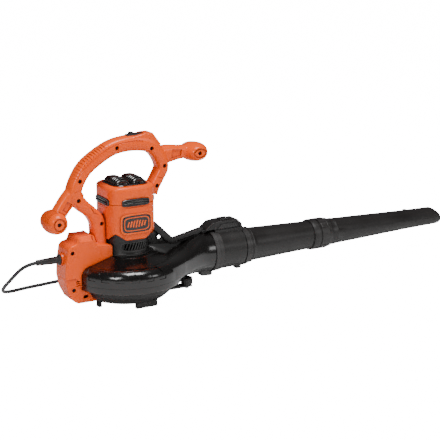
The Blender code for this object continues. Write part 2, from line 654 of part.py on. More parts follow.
cooler = lathe([(28, 127), (28, 129.5), (10, 129.5), (10, 138), (SHAFT_RADIUS + GAP, 138),
    (SHAFT_RADIUS + GAP, 127)], 27)
for k in range(9):
    blade = box(8, 29, -0.9, 0.9, 128, 138)
    blade.transform(Matrix.Rotation(2 * math.pi * k / 9, 4, "Z"))
    cooler = fuse(cooler, blade)
piece("cooling_fan", cooler, BLACK, "fan_axis")

wheel = lathe([(IMPELLER_RADIUS, 78), (IMPELLER_RADIUS, 80.5), (15, 84), (15, 90), (SHAFT_RADIUS + GAP,
    90),
               (SHAFT_RADIUS + GAP, 58), (15, 58), (20, 78)], 36)
for k in range(IMPELLER_BLADES):
    inner = []
    outer = []
    for s in range(4):
        r = 30 + (IMPELLER_RADIUS - 2 - 30) * s / 3
        bend = math.radians(-38 * s / 3 + 360 * k / IMPELLER_BLADES)
        inner.append((r * math.cos(bend), r * math.sin(bend)))
        back = bend + 2.0 / r
        outer.append((r * math.cos(back), r * math.sin(back)))
    loop = inner + list(reversed(outer))
    blade = finish_mesh(ring_solid([[(x, y, 57) for x, y in loop], [(x, y, 79) for x, y in loop]]),
        "blade")
    wheel = fuse(wheel, blade)
piece("impeller", wheel, BLACK, "fan_axis")
piece("impeller_nut", cut(rod(9, 50, 57.4, 6), rod(SHAFT_RADIUS + GAP, 45, 60, 20)), STEEL, "fan_axis")

# ---- connector sleeve with the release button
sleeve = lathe([
    (38.6, 178), (38.6, DUCT_END + GAP), (44.0, DUCT_END + GAP), (44.0, 206), (42.0, 208), (40.5, 262),
        (41.5, 264),
    (41.5, CONNECTOR_END), (38.0, CONNECTOR_END), (37.0, 262), (36.2, 178)], 28, (0, TUBE_AXIS_Z), "X")
latch = plate_xz([(176, 121), (179, 126), (193, 136), (214, 138), (252, 138), (263, 128), (268, 108),
    (199, 108), (199, 121)],
                 -16, 16, 2.0, 2)
latch = cut(latch, rod(39.5, 190, 280, 28, (0, TUBE_AXIS_Z), "X"))
sleeve = fuse(sleeve, latch)
sleeve = fuse(sleeve, plate_xz([(255, 40), (255, 26), (266, 26), (269, 40)], -7, 7, 1, 2))
sleeve = cut(sleeve, rod(36.9, 200, 272, 28, (0, TUBE_AXIS_Z), "X"))
sleeve = cut(sleeve, box(213, 239, -10, 10, 119, 150))
piece("tube_connector", sleeve, BLACK, "tube_track")
button = plate_xz([(213.4, 126), (238.6, 126), (238.6, 139), (236, 141), (216, 141), (213.4, 139)],
    -9.6, 9.6, 0.8, 2)
piece("release_button", button, BLACK, "button_track")
spring_rings = []
for k in range(41):
    turn = 2 * math.pi * k / 10
    centre = Vector((226 + 4 * math.cos(turn), 4 * math.sin(turn), 119.9 + 5.2 * k / 40))
    outward = Vector((math.cos(turn), math.sin(turn), 0))
    spring_rings.append([centre + outward * 0.45 * math.cos(math.pi * m / 2.5) + Vector((0, 0,
        0.45 * math.sin(math.pi * m / 2.5)))
                         for m in range(5)])
piece("release_spring", finish_mesh(ring_solid(spring_rings), "spring"), STEEL, "tube_track")

# ---- blow tube and nozzle
tube = lathe([
    (35.8, 250), (35.8, CONNECTOR_END + GAP), (40.0, CONNECTOR_END + GAP), (40.0, 277), (37.5, 278),
        (37.5, 282),
    (38.5, 283), (37.5, 288), (35.6, 294), (30.9, 440), (34.2, 446), (34.2, TUBE_END),
    (30.8, TUBE_END), (30.8, 448), (28.1, 438), (32.8, 293), (33.0, 283), (33.0, 250)], 28, (0,
        TUBE_AXIS_Z), "X")
piece("blow_tube", tube, BLACK, "tube_track")

NOZZLE_STATIONS = [
    (452, 30.4, 30.4), (TUBE_END + GAP, 30.4, 30.4), (TUBE_END + GAP, 33.0, 33.0), (492, 31.6, 31.6),
    (498, 29.2, 29.2), (560, 27.8, 27.2), (630, 26.0, 24.7), (700, 24.6, 22.3), (750, 23.8, 21.2),
    (NOZZLE_END, 23.4, 20.4),
]
INNER_STATIONS = [
    (NOZZLE_END, 21.2, 18.2), (700, 22.4, 20.1), (560, 25.4, 24.8), (498, 26.6, 26.6), (452, 27.6, 27.6),
]
MOUTH_SLANT = 11.5
MOUTH_BULGE = 8.0
nozzle_rings = []
for x, wide, tall in NOZZLE_STATIONS + INNER_STATIONS:
    ring = []
    for k in range(28):
        angle = 2 * math.pi * k / 28
        rise = math.sin(angle)
        lean = MOUTH_BULGE * (1 - rise * rise) - MOUTH_SLANT * rise if x == NOZZLE_END else 0.0
        ring.append((x + lean, wide * math.cos(angle), TUBE_AXIS_Z + tall * rise))
    nozzle_rings.append(ring)
nozzle = finish_mesh(ring_solid(nozzle_rings, closed=True), "nozzle")
nozzle = fuse(nozzle, box(706, 716, -3, 3, TUBE_AXIS_Z + 20.5, TUBE_AXIS_Z + 24.6))
piece("nozzle", nozzle, BLACK, "nozzle_track")

# ---- cord, relief and plug
relief = lathe([
    (10.5, -147.5), (10.5, -142.4), (7.6, -142.4), (7.6, -133.4), (10.5, -133.4), (10.5, -130.4),
    (CORD_BORE, -130.4), (CORD_BORE, -156), (CORD_BORE, -192), (CORD_BORE + 1.5, -192), (6.1, -189),
        (5.6, -188), (6.6, -158), (7.6, -151)], 16, (0, 103), "X")
piece("cord_relief", relief, BLACK)
clamp = cut(box(-129.6, -121, -12, 12, 96, 110), rod(CORD_BORE, -140, -110, 16, (0, 103), "X"))
piece("cord_clamp", clamp, BLACK)

CORD_ROUTE = [
    (-112, 0, 103), (-150, 0, 103), (-178, 0, 103), (-190, 0, 103), (-200.5, 1.4, 101.8), (-209.5, 5.3,
        98.4),
    (-216.3, 11.5, 93), (-221, 20, 85.5), (-226, 36, 71.5), (-230, 55, 56), (-231, 77, 41), (-228, 99,
        27),
    (-219, 120, 15.5), (-205, 137, 8), (-187, 148, 4.4), (-164, 154, 4.1), (-134, 158, 4.1), (-90, 164,
        4.1),
    (-54, 168.5, 4.3), (-30, 171, 8), (-14, 172, 12), (-3, 172, 12), (4, 172, 12),
]
cord_curve = bpy.data.curves.new("power_cord", "CURVE")
cord_curve.dimensions = "3D"
cord_curve.bevel_depth = CORD_DIAMETER / 2000
cord_curve.bevel_resolution = 2
cord_curve.use_fill_caps = True
spline = cord_curve.splines.new("POLY")
cord_line = curve_through(CORD_ROUTE, 2)
spline.points.add(len(cord_line) - 1)
for point, place in zip(spline.points, cord_line):
    point.co = (place[0] / 1000, place[1] / 1000, place[2] / 1000, 1)
cord_curve.materials.append(colour("power_cord_finish", *BLACK))
cord = bpy.data.objects.new("power_cord", cord_curve)
cord.parent = root
bpy.context.collection.objects.link(cord)

plug = fuse(rod(6.2, -3, 14, 24, (PLUG_Y, 12), "X"), box(12, 42, PLUG_Y - 12, PLUG_Y + 12, 2, 22))
plug = cut(plug, rod(CORD_BORE, -10, 8, 24, (PLUG_Y, 12), "X"))
for y in (PLUG_Y - 6, PLUG_Y + 6):
    plug = cut(plug, box(32, 50, y - 1.1, y + 1.1, 8.6, 15.4))
piece("plug_body", plug, BLACK)
for name, y in (("plug_blade_right", PLUG_Y - 6), ("plug_blade_left", PLUG_Y + 6)):
    piece(name, box(33, 58, y - 0.75, y + 0.75, 9.0, 15.0), BRASS)
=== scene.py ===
import math
import bpy
import bmesh
from mathutils import Matrix, Vector


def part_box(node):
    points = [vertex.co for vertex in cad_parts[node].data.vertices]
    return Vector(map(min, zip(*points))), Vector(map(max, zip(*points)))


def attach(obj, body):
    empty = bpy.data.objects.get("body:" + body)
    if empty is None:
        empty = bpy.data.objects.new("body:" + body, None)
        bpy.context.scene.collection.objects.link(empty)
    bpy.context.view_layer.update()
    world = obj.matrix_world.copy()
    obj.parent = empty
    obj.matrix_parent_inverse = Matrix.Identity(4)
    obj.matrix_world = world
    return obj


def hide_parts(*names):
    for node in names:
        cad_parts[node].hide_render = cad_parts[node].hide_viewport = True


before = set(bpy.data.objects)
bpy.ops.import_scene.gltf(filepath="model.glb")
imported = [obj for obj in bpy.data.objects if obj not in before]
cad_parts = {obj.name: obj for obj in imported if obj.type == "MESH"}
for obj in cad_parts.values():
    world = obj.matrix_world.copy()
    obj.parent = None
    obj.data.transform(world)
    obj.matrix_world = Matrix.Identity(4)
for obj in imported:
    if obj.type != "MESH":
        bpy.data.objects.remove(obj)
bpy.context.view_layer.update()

shaft_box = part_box("motor_shaft")
axis_x = (shaft_box[0].x + shaft_box[1].x) / 2

# Studio: a wide flat pale floor, a large soft light overhead and two soft side lights.
# The camera stands low in front of the handle side and looks along the tube.
studio_glow = 16.0
world = bpy.data.worlds.new("studio_air")
bpy.context.scene.world = world
world.use_nodes = True
air_nodes = world.node_tree
air_nodes.nodes["Background"].inputs["Color"].default_value = (1, 1, 1, 1)
seen_air = air_nodes.nodes.new("ShaderNodeLightPath")
air_glow = air_nodes.nodes.new("ShaderNodeMath")
air_glow.operation = "MULTIPLY_ADD"
air_glow.inputs[1].default_value = studio_glow
air_glow.inputs[2].default_value = 0.12
air_nodes.links.new(seen_air.outputs["Is Camera Ray"], air_glow.inputs[0])
air_nodes.links.new(air_glow.outputs["Value"], air_nodes.nodes["Background"].inputs["Strength"])

floor_mesh = bpy.data.meshes.new("studio_floor")
floor_reach = 12
floor_mesh.from_pydata(
    [(x * floor_reach, y * floor_reach, -0.0005) for x, y in ((-1, -1), (1, -1), (1, 1), (-1, 1))], [], [(0, 1, 2, 3)])
floor = bpy.data.objects.new("studio_floor", floor_mesh)
bpy.context.collection.objects.link(floor)
floor_paint = bpy.data.materials.new("floor_paint")
floor_paint.use_nodes = True
floor_nodes = floor_paint.node_tree
floor_shader = floor_nodes.nodes["Principled BSDF"]
floor_shader.inputs["Base Color"].default_value = (0.93, 0.93, 0.93, 1)
floor_shader.inputs["Roughness"].default_value = 0.85
floor_shader.inputs["Emission Color"].default_value = (1, 1, 1, 1)
straight_look = floor_nodes.nodes.new("ShaderNodeLightPath")
floor_glow = floor_nodes.nodes.new("ShaderNodeMath")
floor_glow.operation = "MULTIPLY"
floor_glow.inputs[1].default_value = studio_glow
floor_nodes.links.new(straight_look.outputs["Is Camera Ray"], floor_glow.inputs[0])
floor_nodes.links.new(floor_glow.outputs["Value"], floor_shader.inputs["Emission Strength"])
floor_mesh.materials.append(floor_paint)


def soft_light(name, place, aim, size, power):
    """A square softbox that faces its aim point."""
    lamp = bpy.data.lights.new(name, "AREA")
    lamp.size = size
    lamp.energy = power
    holder = bpy.data.objects.new(name, lamp)
    turn = (Vector(aim) - Vector(place)).to_track_quat("-Z", "Y")
    holder.matrix_world = Matrix.Translation(place) @ turn.to_matrix().to_4x4()
    bpy.context.collection.objects.link(holder)


soft_light("overhead_softbox", (axis_x + 0.2, -0.55, 2.2), (axis_x + 0.2, 0, 0.1), 0.9, 50)
soft_light("left_softbox", (axis_x - 1.7, -1.5, 1.3), (axis_x, 0, 0.15), 0.7, 24)
soft_light("right_softbox", (axis_x + 1.3, -2.0, 1.0), (axis_x + 0.2, 0, 0.1), 0.7, 8)

camera_data = bpy.data.cameras.new("front_camera")
camera_data.sensor_width = 36
camera_data.lens = 96.2
camera = bpy.data.objects.new("front_camera", camera_data)
back = Vector((-0.4841, -0.8384, 0.2504)).normalized()
right = Vector((0.866, -0.5, 0)).normalized()
up = back.cross(right)
aim = Vector((axis_x + 0.1843, -0.0604, 0.1541))
camera.matrix_world = Matrix.Translation(aim + back * 2.4) @ Matrix((right, up, back)).transposed().to_4x4()
bpy.context.collection.objects.link(camera)
bpy.context.scene.camera = camera

# Finishes start from three shared effects. Moulded grain is the fine spark-eroded texture and uneven gloss
# that every plastic part takes from its mould; rubbed edges pale the corners that hands and floors touch;
# painted shade darkens the colour in hollows, creases and seams, where ambient occlusion finds them.


def wired(tree, *rows):
    """Join nodes, one row for each link: node, output, node, input."""
    for source, out, goal, socket in rows:
        tree.links.new(source.outputs[out], goal.inputs[socket])


def effect(name, inputs, outputs):
    """A named shader group with number inputs and outputs."""
    tree = bpy.data.node_groups.new(name, "ShaderNodeTree")
    for label, kind, value in inputs:
        socket = tree.interface.new_socket(label, in_out="INPUT", socket_type=kind)
        socket.default_value = value
    for label, kind in outputs:
        tree.interface.new_socket(label, in_out="OUTPUT", socket_type=kind)
    return tree, tree.nodes.new("NodeGroupInput"), tree.nodes.new("NodeGroupOutput")


grain_tree, grain_in, grain_out = effect(
    "moulded_grain",
    [("Vector", "NodeSocketVector", (0, 0, 0)), ("Grain Scale", "NodeSocketFloat", 1800.0),
     ("Cloud Scale", "NodeSocketFloat", 14.0), ("Roughness Low", "NodeSocketFloat", 0.3),
     ("Roughness High", "NodeSocketFloat", 0.45)],
    [("Height", "NodeSocketFloat"), ("Roughness", "NodeSocketFloat"), ("Cloud", "NodeSocketFloat")])
fine = grain_tree.nodes.new("ShaderNodeTexNoise")
fine.inputs["Detail"].default_value = 3
clouds = grain_tree.nodes.new("ShaderNodeTexNoise")
clouds.inputs["Detail"].default_value = 5
spread = grain_tree.nodes.new("ShaderNodeMapRange")
spread.inputs["From Min"].default_value = 0.3
spread.inputs["From Max"].default_value = 0.7
wired(grain_tree, (grain_in, "Vector", fine, "Vector"), (grain_in, "Grain Scale", fine, "Scale"),
      (grain_in, "Vector", clouds, "Vector"), (grain_in, "Cloud Scale", clouds, "Scale"),
      (clouds, "Fac", spread, "Value"),
      (grain_in, "Roughness Low", spread, "To Min"), (grain_in, "Roughness High", spread, "To Max"),
      (fine, "Fac", grain_out, "Height"), (spread, "Result", grain_out, "Roughness"),
      (clouds, "Fac", grain_out, "Cloud"))

# Painted shade: an ambient occlusion mask that darkens the base colour in hollows, creases and seams.
hollow_shade_tree, hollow_shade_in, hollow_shade_out = effect(
    "painted_hollow_shade",
    [("Reach", "NodeSocketFloat", 0.006), ("Low", "NodeSocketFloat", 0.35), ("High", "NodeSocketFloat", 0.95)],
    [("Shade", "NodeSocketFloat")])
hollow = hollow_shade_tree.nodes.new("ShaderNodeAmbientOcclusion")
hollow.samples = 6
dip_range = hollow_shade_tree.nodes.new("ShaderNodeMapRange")
dip_range.inputs["To Min"].default_value = 0.25
dip_range.inputs["To Max"].default_value = 1.0
wired(hollow_shade_tree, (hollow_shade_in, "Reach", hollow, "Distance"), (hollow, "AO", dip_range, "Value"),
      (hollow_shade_in, "Low", dip_range, "From Min"),
      (hollow_shade_in, "High", dip_range, "From Max"), (dip_range, "Result", hollow_shade_out, "Shade"))

rub_tree, rub_in, rub_out = effect(
    "rubbed_edges",
    [("Vector", "NodeSocketVector", (0, 0, 0)), ("Start", "NodeSocketFloat", 0.52), ("End", "NodeSocketFloat", 0.62),
     ("Strength", "NodeSocketFloat", 0.5)],
    [("Mask", "NodeSocketFloat")])
corner = rub_tree.nodes.new("ShaderNodeNewGeometry")
patch = rub_tree.nodes.new("ShaderNodeTexNoise")
patch.inputs["Scale"].default_value = 60
patch.inputs["Detail"].default_value = 4
edge = rub_tree.nodes.new("ShaderNodeMapRange")
both = rub_tree.nodes.new("ShaderNodeMath")
both.operation = "MULTIPLY"
final = rub_tree.nodes.new("ShaderNodeMath")
final.operation = "MULTIPLY"
wired(rub_tree, (corner, "Pointiness", edge, "Value"), (rub_in, "Start", edge, "From Min"),
      (rub_in, "End", edge, "From Max"),
      (rub_in, "Vector", patch, "Vector"), (edge, "Result", both, 0), (patch, "Fac", both, 1),
      (both, "Value", final, 0),
      (rub_in, "Strength", final, 1), (final, "Value", rub_out, "Mask"))


def moulded(name, base, pale, rough, bump=0.00006, grain=1800.0, metal=0.0, rub=0.5, coat=0.0, cloud=14.0, tint=0.12):
    """A plastic, rubber or metal finish with grain, uneven gloss, soft colour clouds, rubbed edges and painted shade in
    hollows.
    """
    mat = bpy.data.materials.new(name)
    mat.use_nodes = True
    tree = mat.node_tree
    shader = tree.nodes["Principled BSDF"]
    shader.inputs["Metallic"].default_value = metal
    shader.inputs["Coat Weight"].default_value = coat
    shader.inputs["Coat Roughness"].default_value = 0.12
    spot = tree.nodes.new("ShaderNodeTexCoord")
    texture = tree.nodes.new("ShaderNodeGroup")
    texture.node_tree = grain_tree
    texture.inputs["Grain Scale"].default_value = grain
    texture.inputs["Cloud Scale"].default_value = cloud
    texture.inputs["Roughness Low"].default_value = rough[0]
    texture.inputs["Roughness High"].default_value = rough[1]
    wear = tree.nodes.new("ShaderNodeGroup")
    wear.node_tree = rub_tree
    wear.inputs["Strength"].default_value = rub
    shade = tree.nodes.new("ShaderNodeMix")
    shade.data_type = "RGBA"
    shade.inputs["A"].default_value = (*[c * (1 - tint) for c in base], 1)
    shade.inputs["B"].default_value = (*[min(1, c * (1 + tint)) for c in base], 1)
    worn = tree.nodes.new("ShaderNodeMix")
    worn.data_type = "RGBA"
    worn.inputs["B"].default_value = (*pale, 1)
    relief = tree.nodes.new("ShaderNodeBump")
    relief.inputs["Distance"].default_value = bump
    relief.inputs["Strength"].default_value = 0.6
    # Painted shade: where ambient occlusion finds hollows and creases, the colour is mixed towards 0.12 of the base.
    hollow_shade_node = tree.nodes.new("ShaderNodeGroup")
    hollow_shade_node.node_tree = hollow_shade_tree
    painted_shade_mix = tree.nodes.new("ShaderNodeMix")
    painted_shade_mix.data_type = "RGBA"
    painted_shade_mix.inputs["A"].default_value = (*[c * 0.12 for c in base], 1)
    wired(tree, (spot, "Object", texture, "Vector"), (spot, "Object", wear, "Vector"),
          (texture, "Cloud", shade, "Factor"),
          (wear, "Mask", worn, "Factor"), (hollow_shade_node, "Shade", painted_shade_mix, "Factor"),
          (texture, "Roughness", shader, "Roughness"),
          (texture, "Height", relief, "Height"), (relief, "Normal", shader, "Normal"))
    tree.links.new(shade.outputs["Result"], worn.inputs["A"])
    tree.links.new(worn.outputs["Result"], painted_shade_mix.inputs["B"])
    tree.links.new(painted_shade_mix.outputs["Result"], shader.inputs["Base Color"])
    return mat


orange_plastic = moulded("orange_plastic", (1.0, 0.096, 0.0), (1.0, 0.26, 0.05), (0.2, 0.3), coat=0.0, tint=0.05,
                         rub=0.35)
orange_plastic.node_tree.nodes["Principled BSDF"].inputs["Specular IOR Level"].default_value = 0.3
matt_black = moulded("matt_black_plastic", (0.008, 0.0068, 0.0066), (0.11, 0.105, 0.105), (0.34, 0.5), bump=0.00009)
gloss_black = moulded("gloss_black_plastic", (0.0045, 0.0038, 0.0037), (0.08, 0.075, 0.075), (0.16, 0.26), bump=0.00003,
                      coat=0.35)
cord_rubber = moulded("cord_rubber", (0.018, 0.018, 0.018), (0.07, 0.07, 0.07), (0.42, 0.58), grain=900.0)
zinc_steel = moulded("zinc_steel", (0.16, 0.155, 0.15), (0.5, 0.5, 0.5), (0.28, 0.42), metal=1.0, grain=2600.0)
brass_metal = moulded("brass_metal", (0.72, 0.50, 0.18), (0.95, 0.8, 0.5), (0.2, 0.35), metal=1.0, grain=2600.0)
copper_wire = moulded("copper_wire", (0.60, 0.22, 0.08), (0.85, 0.5, 0.3), (0.25, 0.4), metal=1.0, grain=1500.0)
carbon_block = moulded("carbon_block", (0.03, 0.03, 0.033), (0.12, 0.12, 0.13), (0.6, 0.75), grain=1200.0)

# Power cord: a short black rubber lead with a moulded two-blade plug, meant for an extension lead.
# It leaves the tapered relief at the rear, drops to the floor and runs behind the fan casing.


def spot_mm(x, y, z):
    """A place given in millimetres from the motor axis at floor level."""
    return Vector((axis_x + x / 1000, y / 1000, z / 1000))


def flowing(points, per_span=6):
    """A smooth line through points of any dimension."""
    ends = [points[0]] + list(points) + [points[-1]]
    line = []
    for i in range(1, len(ends) - 2):
        a, b, c, d = ends[i - 1], ends[i], ends[i + 1], ends[i + 2]
        for k in range(per_span):
            t = k / per_span
            line.append(tuple(
                0.5 * (2 * q + (r - p) * t + (2 * p - 5 * q + 4 * r - s) * t * t + (3 * q - p - 3 * r + s) * t ** 3)
                for p, q, r, s in zip(a, b, c, d)))
    line.append(tuple(points[-1]))
    return line


cord_diameter = 7.4
cord_route = [
    (-124, 0, 103), (-150, 0, 103), (-178, 0, 103), (-190, 0, 103), (-200.5, 1.4, 101.8), (-209.5, 5.3, 98.4),
    (-216.3, 11.5, 93), (-221, 20, 85.5), (-226, 36, 71.5), (-229.8, 55, 56), (-230.7, 77, 41), (-228, 99, 27),
    (-219, 120, 15.5), (-205, 137, 8), (-187, 148, 4.4), (-164, 154, 4.1), (-134, 158, 4.1), (-90, 164, 4.1),
    (-54, 168.5, 4.3), (-30, 171, 8), (-14, 172, 12), (-3, 172, 12), (4, 172, 12),
]
lead_curve = bpy.data.curves.new("power_lead", "CURVE")
lead_curve.dimensions = "3D"
lead_curve.bevel_depth = cord_diameter / 2000
lead_curve.bevel_resolution = 6
lead_curve.use_fill_caps = True
lead_spline = lead_curve.splines.new("POLY")
lead_line = flowing(cord_route, 5)
lead_spline.points.add(len(lead_line) - 1)
for point, place in zip(lead_spline.points, lead_line):
    point.co = (*spot_mm(*place), 1)
lead_curve.materials.append(cord_rubber)
lead = bpy.data.objects.new("power_lead", lead_curve)
bpy.context.collection.objects.link(lead)
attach(lead, "frame")
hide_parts("power_cord")

# Plug: a moulded rubber body with finger ribs and two brass blades pressed in.
# The body is a swept block that narrows to the cord.


def skin(rings, closed=False):
    """Skin equal rings into one closed shell with outward faces."""
    work = bmesh.new()
    rows = [[work.verts.new(Vector(p)) for p in ring] for ring in rings]
    count = len(rows[0])
    pairs = list(zip(rows[:-1], rows[1:]))
    if closed:
        pairs.append((rows[-1], rows[0]))
    for first, second in pairs:
        for i in range(count):
            j = (i + 1) % count
            work.faces.new((first[i], first[j], second[j], second[i]))
    if not closed:
        work.faces.new(list(reversed(rows[0])))
        work.faces.new(rows[-1])
    bmesh.ops.remove_doubles(work, verts=work.verts, dist=0.0005)
    bmesh.ops.recalc_face_normals(work, faces=work.faces)
    mesh = bpy.data.meshes.new("skin")
    work.to_mesh(mesh)
    work.free()
    return mesh


def softened(angle, half_a, half_b, power):
    """A point on a softened rectangle with the given half sizes."""
    c = math.cos(angle)
    s = math.sin(angle)
    return half_a * math.copysign(abs(c) ** (2 / power), c), half_b * math.copysign(abs(s) ** (2 / power), s)


def soft_loop(half_a, half_b, power, count, start=0.5):
    """Points round a softened rectangle with the given half sizes."""
    return [softened(2 * math.pi * (k + start) / count, half_a, half_b, power) for k in range(count)]


def fit_out(name, mesh, finish, body, stands_for=(), angle=40):
    """Give a mesh drawn in millimetres from the motor axis its place, finish and body."""
    mesh.transform(Matrix.Translation((axis_x, 0, 0)) @ Matrix.Scale(0.001, 4))
    mesh.materials.clear()
    mesh.materials.append(finish)
    mesh.shade_smooth()
    if angle:
        mesh.set_sharp_from_angle(angle=math.radians(angle))
    mesh.name = name
    made = bpy.data.objects.new(name, mesh)
    bpy.context.collection.objects.link(made)
    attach(made, body)
    if stands_for:
        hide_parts(*stands_for)
    return made


plug_y = 172
plug_height = 12
plug_rings = []
for x, half_y, half_z, power in (
        (-3, 5.2, 5.2, 2.0), (-2, 6.2, 6.2, 2.0), (9, 6.2, 6.2, 2.0), (11.5, 8, 7, 2.4), (14, 11.2, 9.4, 3.5),
        (17, 12, 10, 4),
        (18, 11.2, 9.2, 4), (20, 11.2, 9.2, 4), (21, 12, 10, 4), (23, 12, 10, 4), (24, 11.2, 9.2, 4),
        (26, 11.2, 9.2, 4),
        (27, 12, 10, 4), (39.5, 12, 10, 4.5), (41.4, 11.4, 9.4, 4.5), (42, 10.4, 8.4, 4.5)):
    plug_rings.append([(x, plug_y + u, plug_height + v) for u, v in soft_loop(half_y, half_z, power, 48)])
plug = fit_out("lead_plug", skin(plug_rings), cord_rubber, "frame", ["plug_body"])
for blade in ("plug_blade_right", "plug_blade_left"):
    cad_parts[blade].data.materials.clear()
    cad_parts[blade].data.materials.append(brass_metal)

# Cord relief: a tapered rubber sleeve with cut rings that lets the lead flex, gripped by the housing wall.
# It is turned as one profile and the flange seats on the housing.


def turned(profile, steps=96, centre=(0.0, 0.0), axis="Z", power=2.0):
    """Turn a closed profile of (radius, height) round Z, or round X at the given centre (y, z)."""
    rings = []
    for radius, height in profile:
        loop = [(centre[0] + u, centre[1] + v) for u, v in soft_loop(radius, radius, power, steps, 0)]
        rings.append([(u, v, height) if axis == "Z" else (height, u, v) for u, v in loop])
    return skin(rings, closed=True)


relief_profile = [
    (4.2, -131), (10.2, -131), (10.4, -133.2), (7.5, -133.5), (7.5, -142.6), (9.8, -142.8), (10.4, -143.6),
    (10.4, -146.4),
    (9.6, -147.4), (8.0, -148.4), (7.5, -150.5), (7.2, -160), (6.7, -172), (6.2, -184), (5.7, -188),
    (5.75, -188.6), (6.2, -189.4),
    (6.2, -191), (5.7, -192), (4.2, -192),
]
fit_out("lead_relief", turned(relief_profile, 48, (0, 103), "X"), cord_rubber, "frame", ["cord_relief"])

# Fan casing: two black moulded half shells that meet at a level seam and open into the outlet duct.
# The scroll is turned and the duct is drawn through stations, then the two are blended into one skin.


def blended(name, solids, voxel, smooth_steps, strength=0.5):
    """Join overlapping closed solids into one even skin whose inside corners run together."""
    joined = bmesh.new()
    for mesh in solids:
        joined.from_mesh(mesh)
    bmesh.ops.recalc_face_normals(joined, faces=joined.faces)
    mesh = bpy.data.meshes.new(name)
    joined.to_mesh(mesh)
    joined.free()
    holder = bpy.data.objects.new(name, mesh)
    bpy.context.collection.objects.link(holder)
    skinning = holder.modifiers.new("skin", "REMESH")
    skinning.mode = "VOXEL"
    skinning.voxel_size = voxel
    if smooth_steps:
        easing = holder.modifiers.new("ease", "SMOOTH")
        easing.factor = strength
        easing.iterations = smooth_steps
    return settled(holder)


def settled(holder):
    """Take the finished mesh of an object with modifiers and remove the object."""
    graph = bpy.context.evaluated_depsgraph_get()
    mesh = bpy.data.meshes.new_from_object(holder.evaluated_get(graph))
    bpy.data.objects.remove(holder)
    return mesh


def carved(mesh, tools, how="DIFFERENCE", crossing=False):
    """Cut, join or keep a mesh against tool meshes, in one pass for each tool. Crossing tools may overlap in one mesh."""
    holder = bpy.data.objects.new("carving", mesh)
    bpy.context.collection.objects.link(holder)
    helpers = []
    for tool in tools:
        helper = bpy.data.objects.new("tool", tool)
        bpy.context.collection.objects.link(helper)
        step = holder.modifiers.new("carve", "BOOLEAN")
        step.operation = how
        step.solver = "EXACT"
        step.use_self = crossing
        step.object = helper
        helpers.append(helper)
    result = settled(holder)
    for helper in helpers:
        bpy.data.objects.remove(helper)
    return result


def block(x0, x1, y0, y1, z0, z1):
    """A plain tool block."""
    return skin([[(x, y0, z0), (x, y1, z0), (x, y1, z1), (x, y0, z1)] for x in (x0, x1)])


def together(meshes):
    """Several closed shapes in one mesh."""
    work = bmesh.new()
    for mesh in meshes:
        work.from_mesh(mesh)
    result = bpy.data.meshes.new("together")
    work.to_mesh(result)
    work.free()
    return result


tube_height = 74
scroll_profile = [(0.01, 40), (112.2, 40), (113, 52)]
scroll_profile += [(113, 60 + 2 * k) for k in range(4)]
for k in range(1, 13):
    turn = math.radians(90 * k / 12)
    scroll_profile.append((93 + 20 * math.cos(turn), 68 + 20 * math.sin(turn)))
scroll_profile += [(84, 91), (72, 94.8), (63, 97.8), (57, 99.6), (56, 101.6), (50.5, 101.9), (0.01, 101.9)]
duct_stations = [
    (20, 106, 40, 91, 7.0), (60, 95, 42, 91, 6.0), (90, 79, 44, 92.5, 5.0), (104, 70, 43, 95, 4.2),
    (120, 61, 40, 98.5, 3.6),
    (140, 51, 36.5, 107, 2.9), (158, 44.6, 33, 114, 2.3), (172, 42.5, 31.5, 116.5, 2.0),
    (195.4, 42.5, 31.5, 116.5, 2.0),
]
duct_rings = []
for x, half, low, high, power in flowing(duct_stations, 5):
    loop = soft_loop(half, (high - low) / 2, max(2.0, power), 72)
    duct_rings.append([(x, u, (high + low) / 2 + v) for u, v in loop])
rim_panels = []
facet_line = ((0.0, 113.4, 66.0), (0.0, 113.6, 72.0), (0.05, 110.8, 80.0), (0.09, 104.0, 86.6), (0.11, 97.5, 88.4))
for k in range(15):
    middle = math.radians(76 + 15.2 * k)
    if abs(math.degrees(middle) - 180) < 14:
        continue
    for side in (1, -1):
        outer = []
        inner = []
        for lean, radius, height in facet_line:
            for rows, push, lift in ((outer, 3.0, 2.0), (inner, -1.9, -1.2)):
                rows.append([((radius + push) * math.cos(a), side * (radius + push) * math.sin(a), height + lift)
                             for a in (middle + lean + 0.075 * t for t in (-1, -0.33, 0.33, 1))])
        if middle < math.radians(168):
            rim_panels.append(skin([a + list(reversed(b)) for a, b in zip(outer, inner)]))
casing_skin = blended("casing_skin", [turned(scroll_profile, 144), skin(duct_rings)], 2.1, 4)
scroll_hollow = turned([(0.01, 50.8), (109, 50.8), (110.2, 66), (107, 80), (93, 85), (52, 98.8), (0.01, 98.8)], 96)
bore_share = 0.93
bore_rings = duct_rings + [[(x + 6, y, z) for x, y, z in duct_rings[-1]]]
duct_bore = skin([
    [(x, y * bore_share, tube_height + (z - tube_height) * bore_share) for x, y, z in ring] for ring in bore_rings])
shaft_way = turned([(0.01, 90), (8, 90), (8, 110), (0.01, 110)], 48)
casing_skin = carved(casing_skin, [together(rim_panels), scroll_hollow, duct_bore, shaft_way])
upper_casing = carved(casing_skin.copy(), [block(-130, 220, -130, 130, 54, 140)], "INTERSECT")
intake_way = turned([(0.01, 40), (62, 40), (62, 60), (0.01, 60)], 96)
lower_casing = carved(carved(casing_skin, [block(-130, 220, -130, 130, 20, 53.6)], "INTERSECT"), [intake_way])
lug_outline = ((168, 33.4), (170, 23), (191, 21.5), (194.6, 24), (194.6, 33.4))
duct_lug = skin([[(x, y, z) for x, z in lug_outline] for y in (-9, 9)])
lower_casing = carved(lower_casing, [duct_lug], "UNION")
fit_out("scroll_casing_upper", upper_casing, gloss_black, "frame", ["fan_casing_upper"], 32)
fit_out("scroll_casing_lower", lower_casing, gloss_black, "frame", ["fan_casing_lower"], 32)
duct_band = turned([(42.2, 187.2), (44.0, 187.0), (44.6, 187.6), (44.6, 195.6), (42.2, 195.6)], 144,
                   (0, tube_height), "X")
fit_out("duct_end_band", duct_band, matt_black, "frame", (), 32)

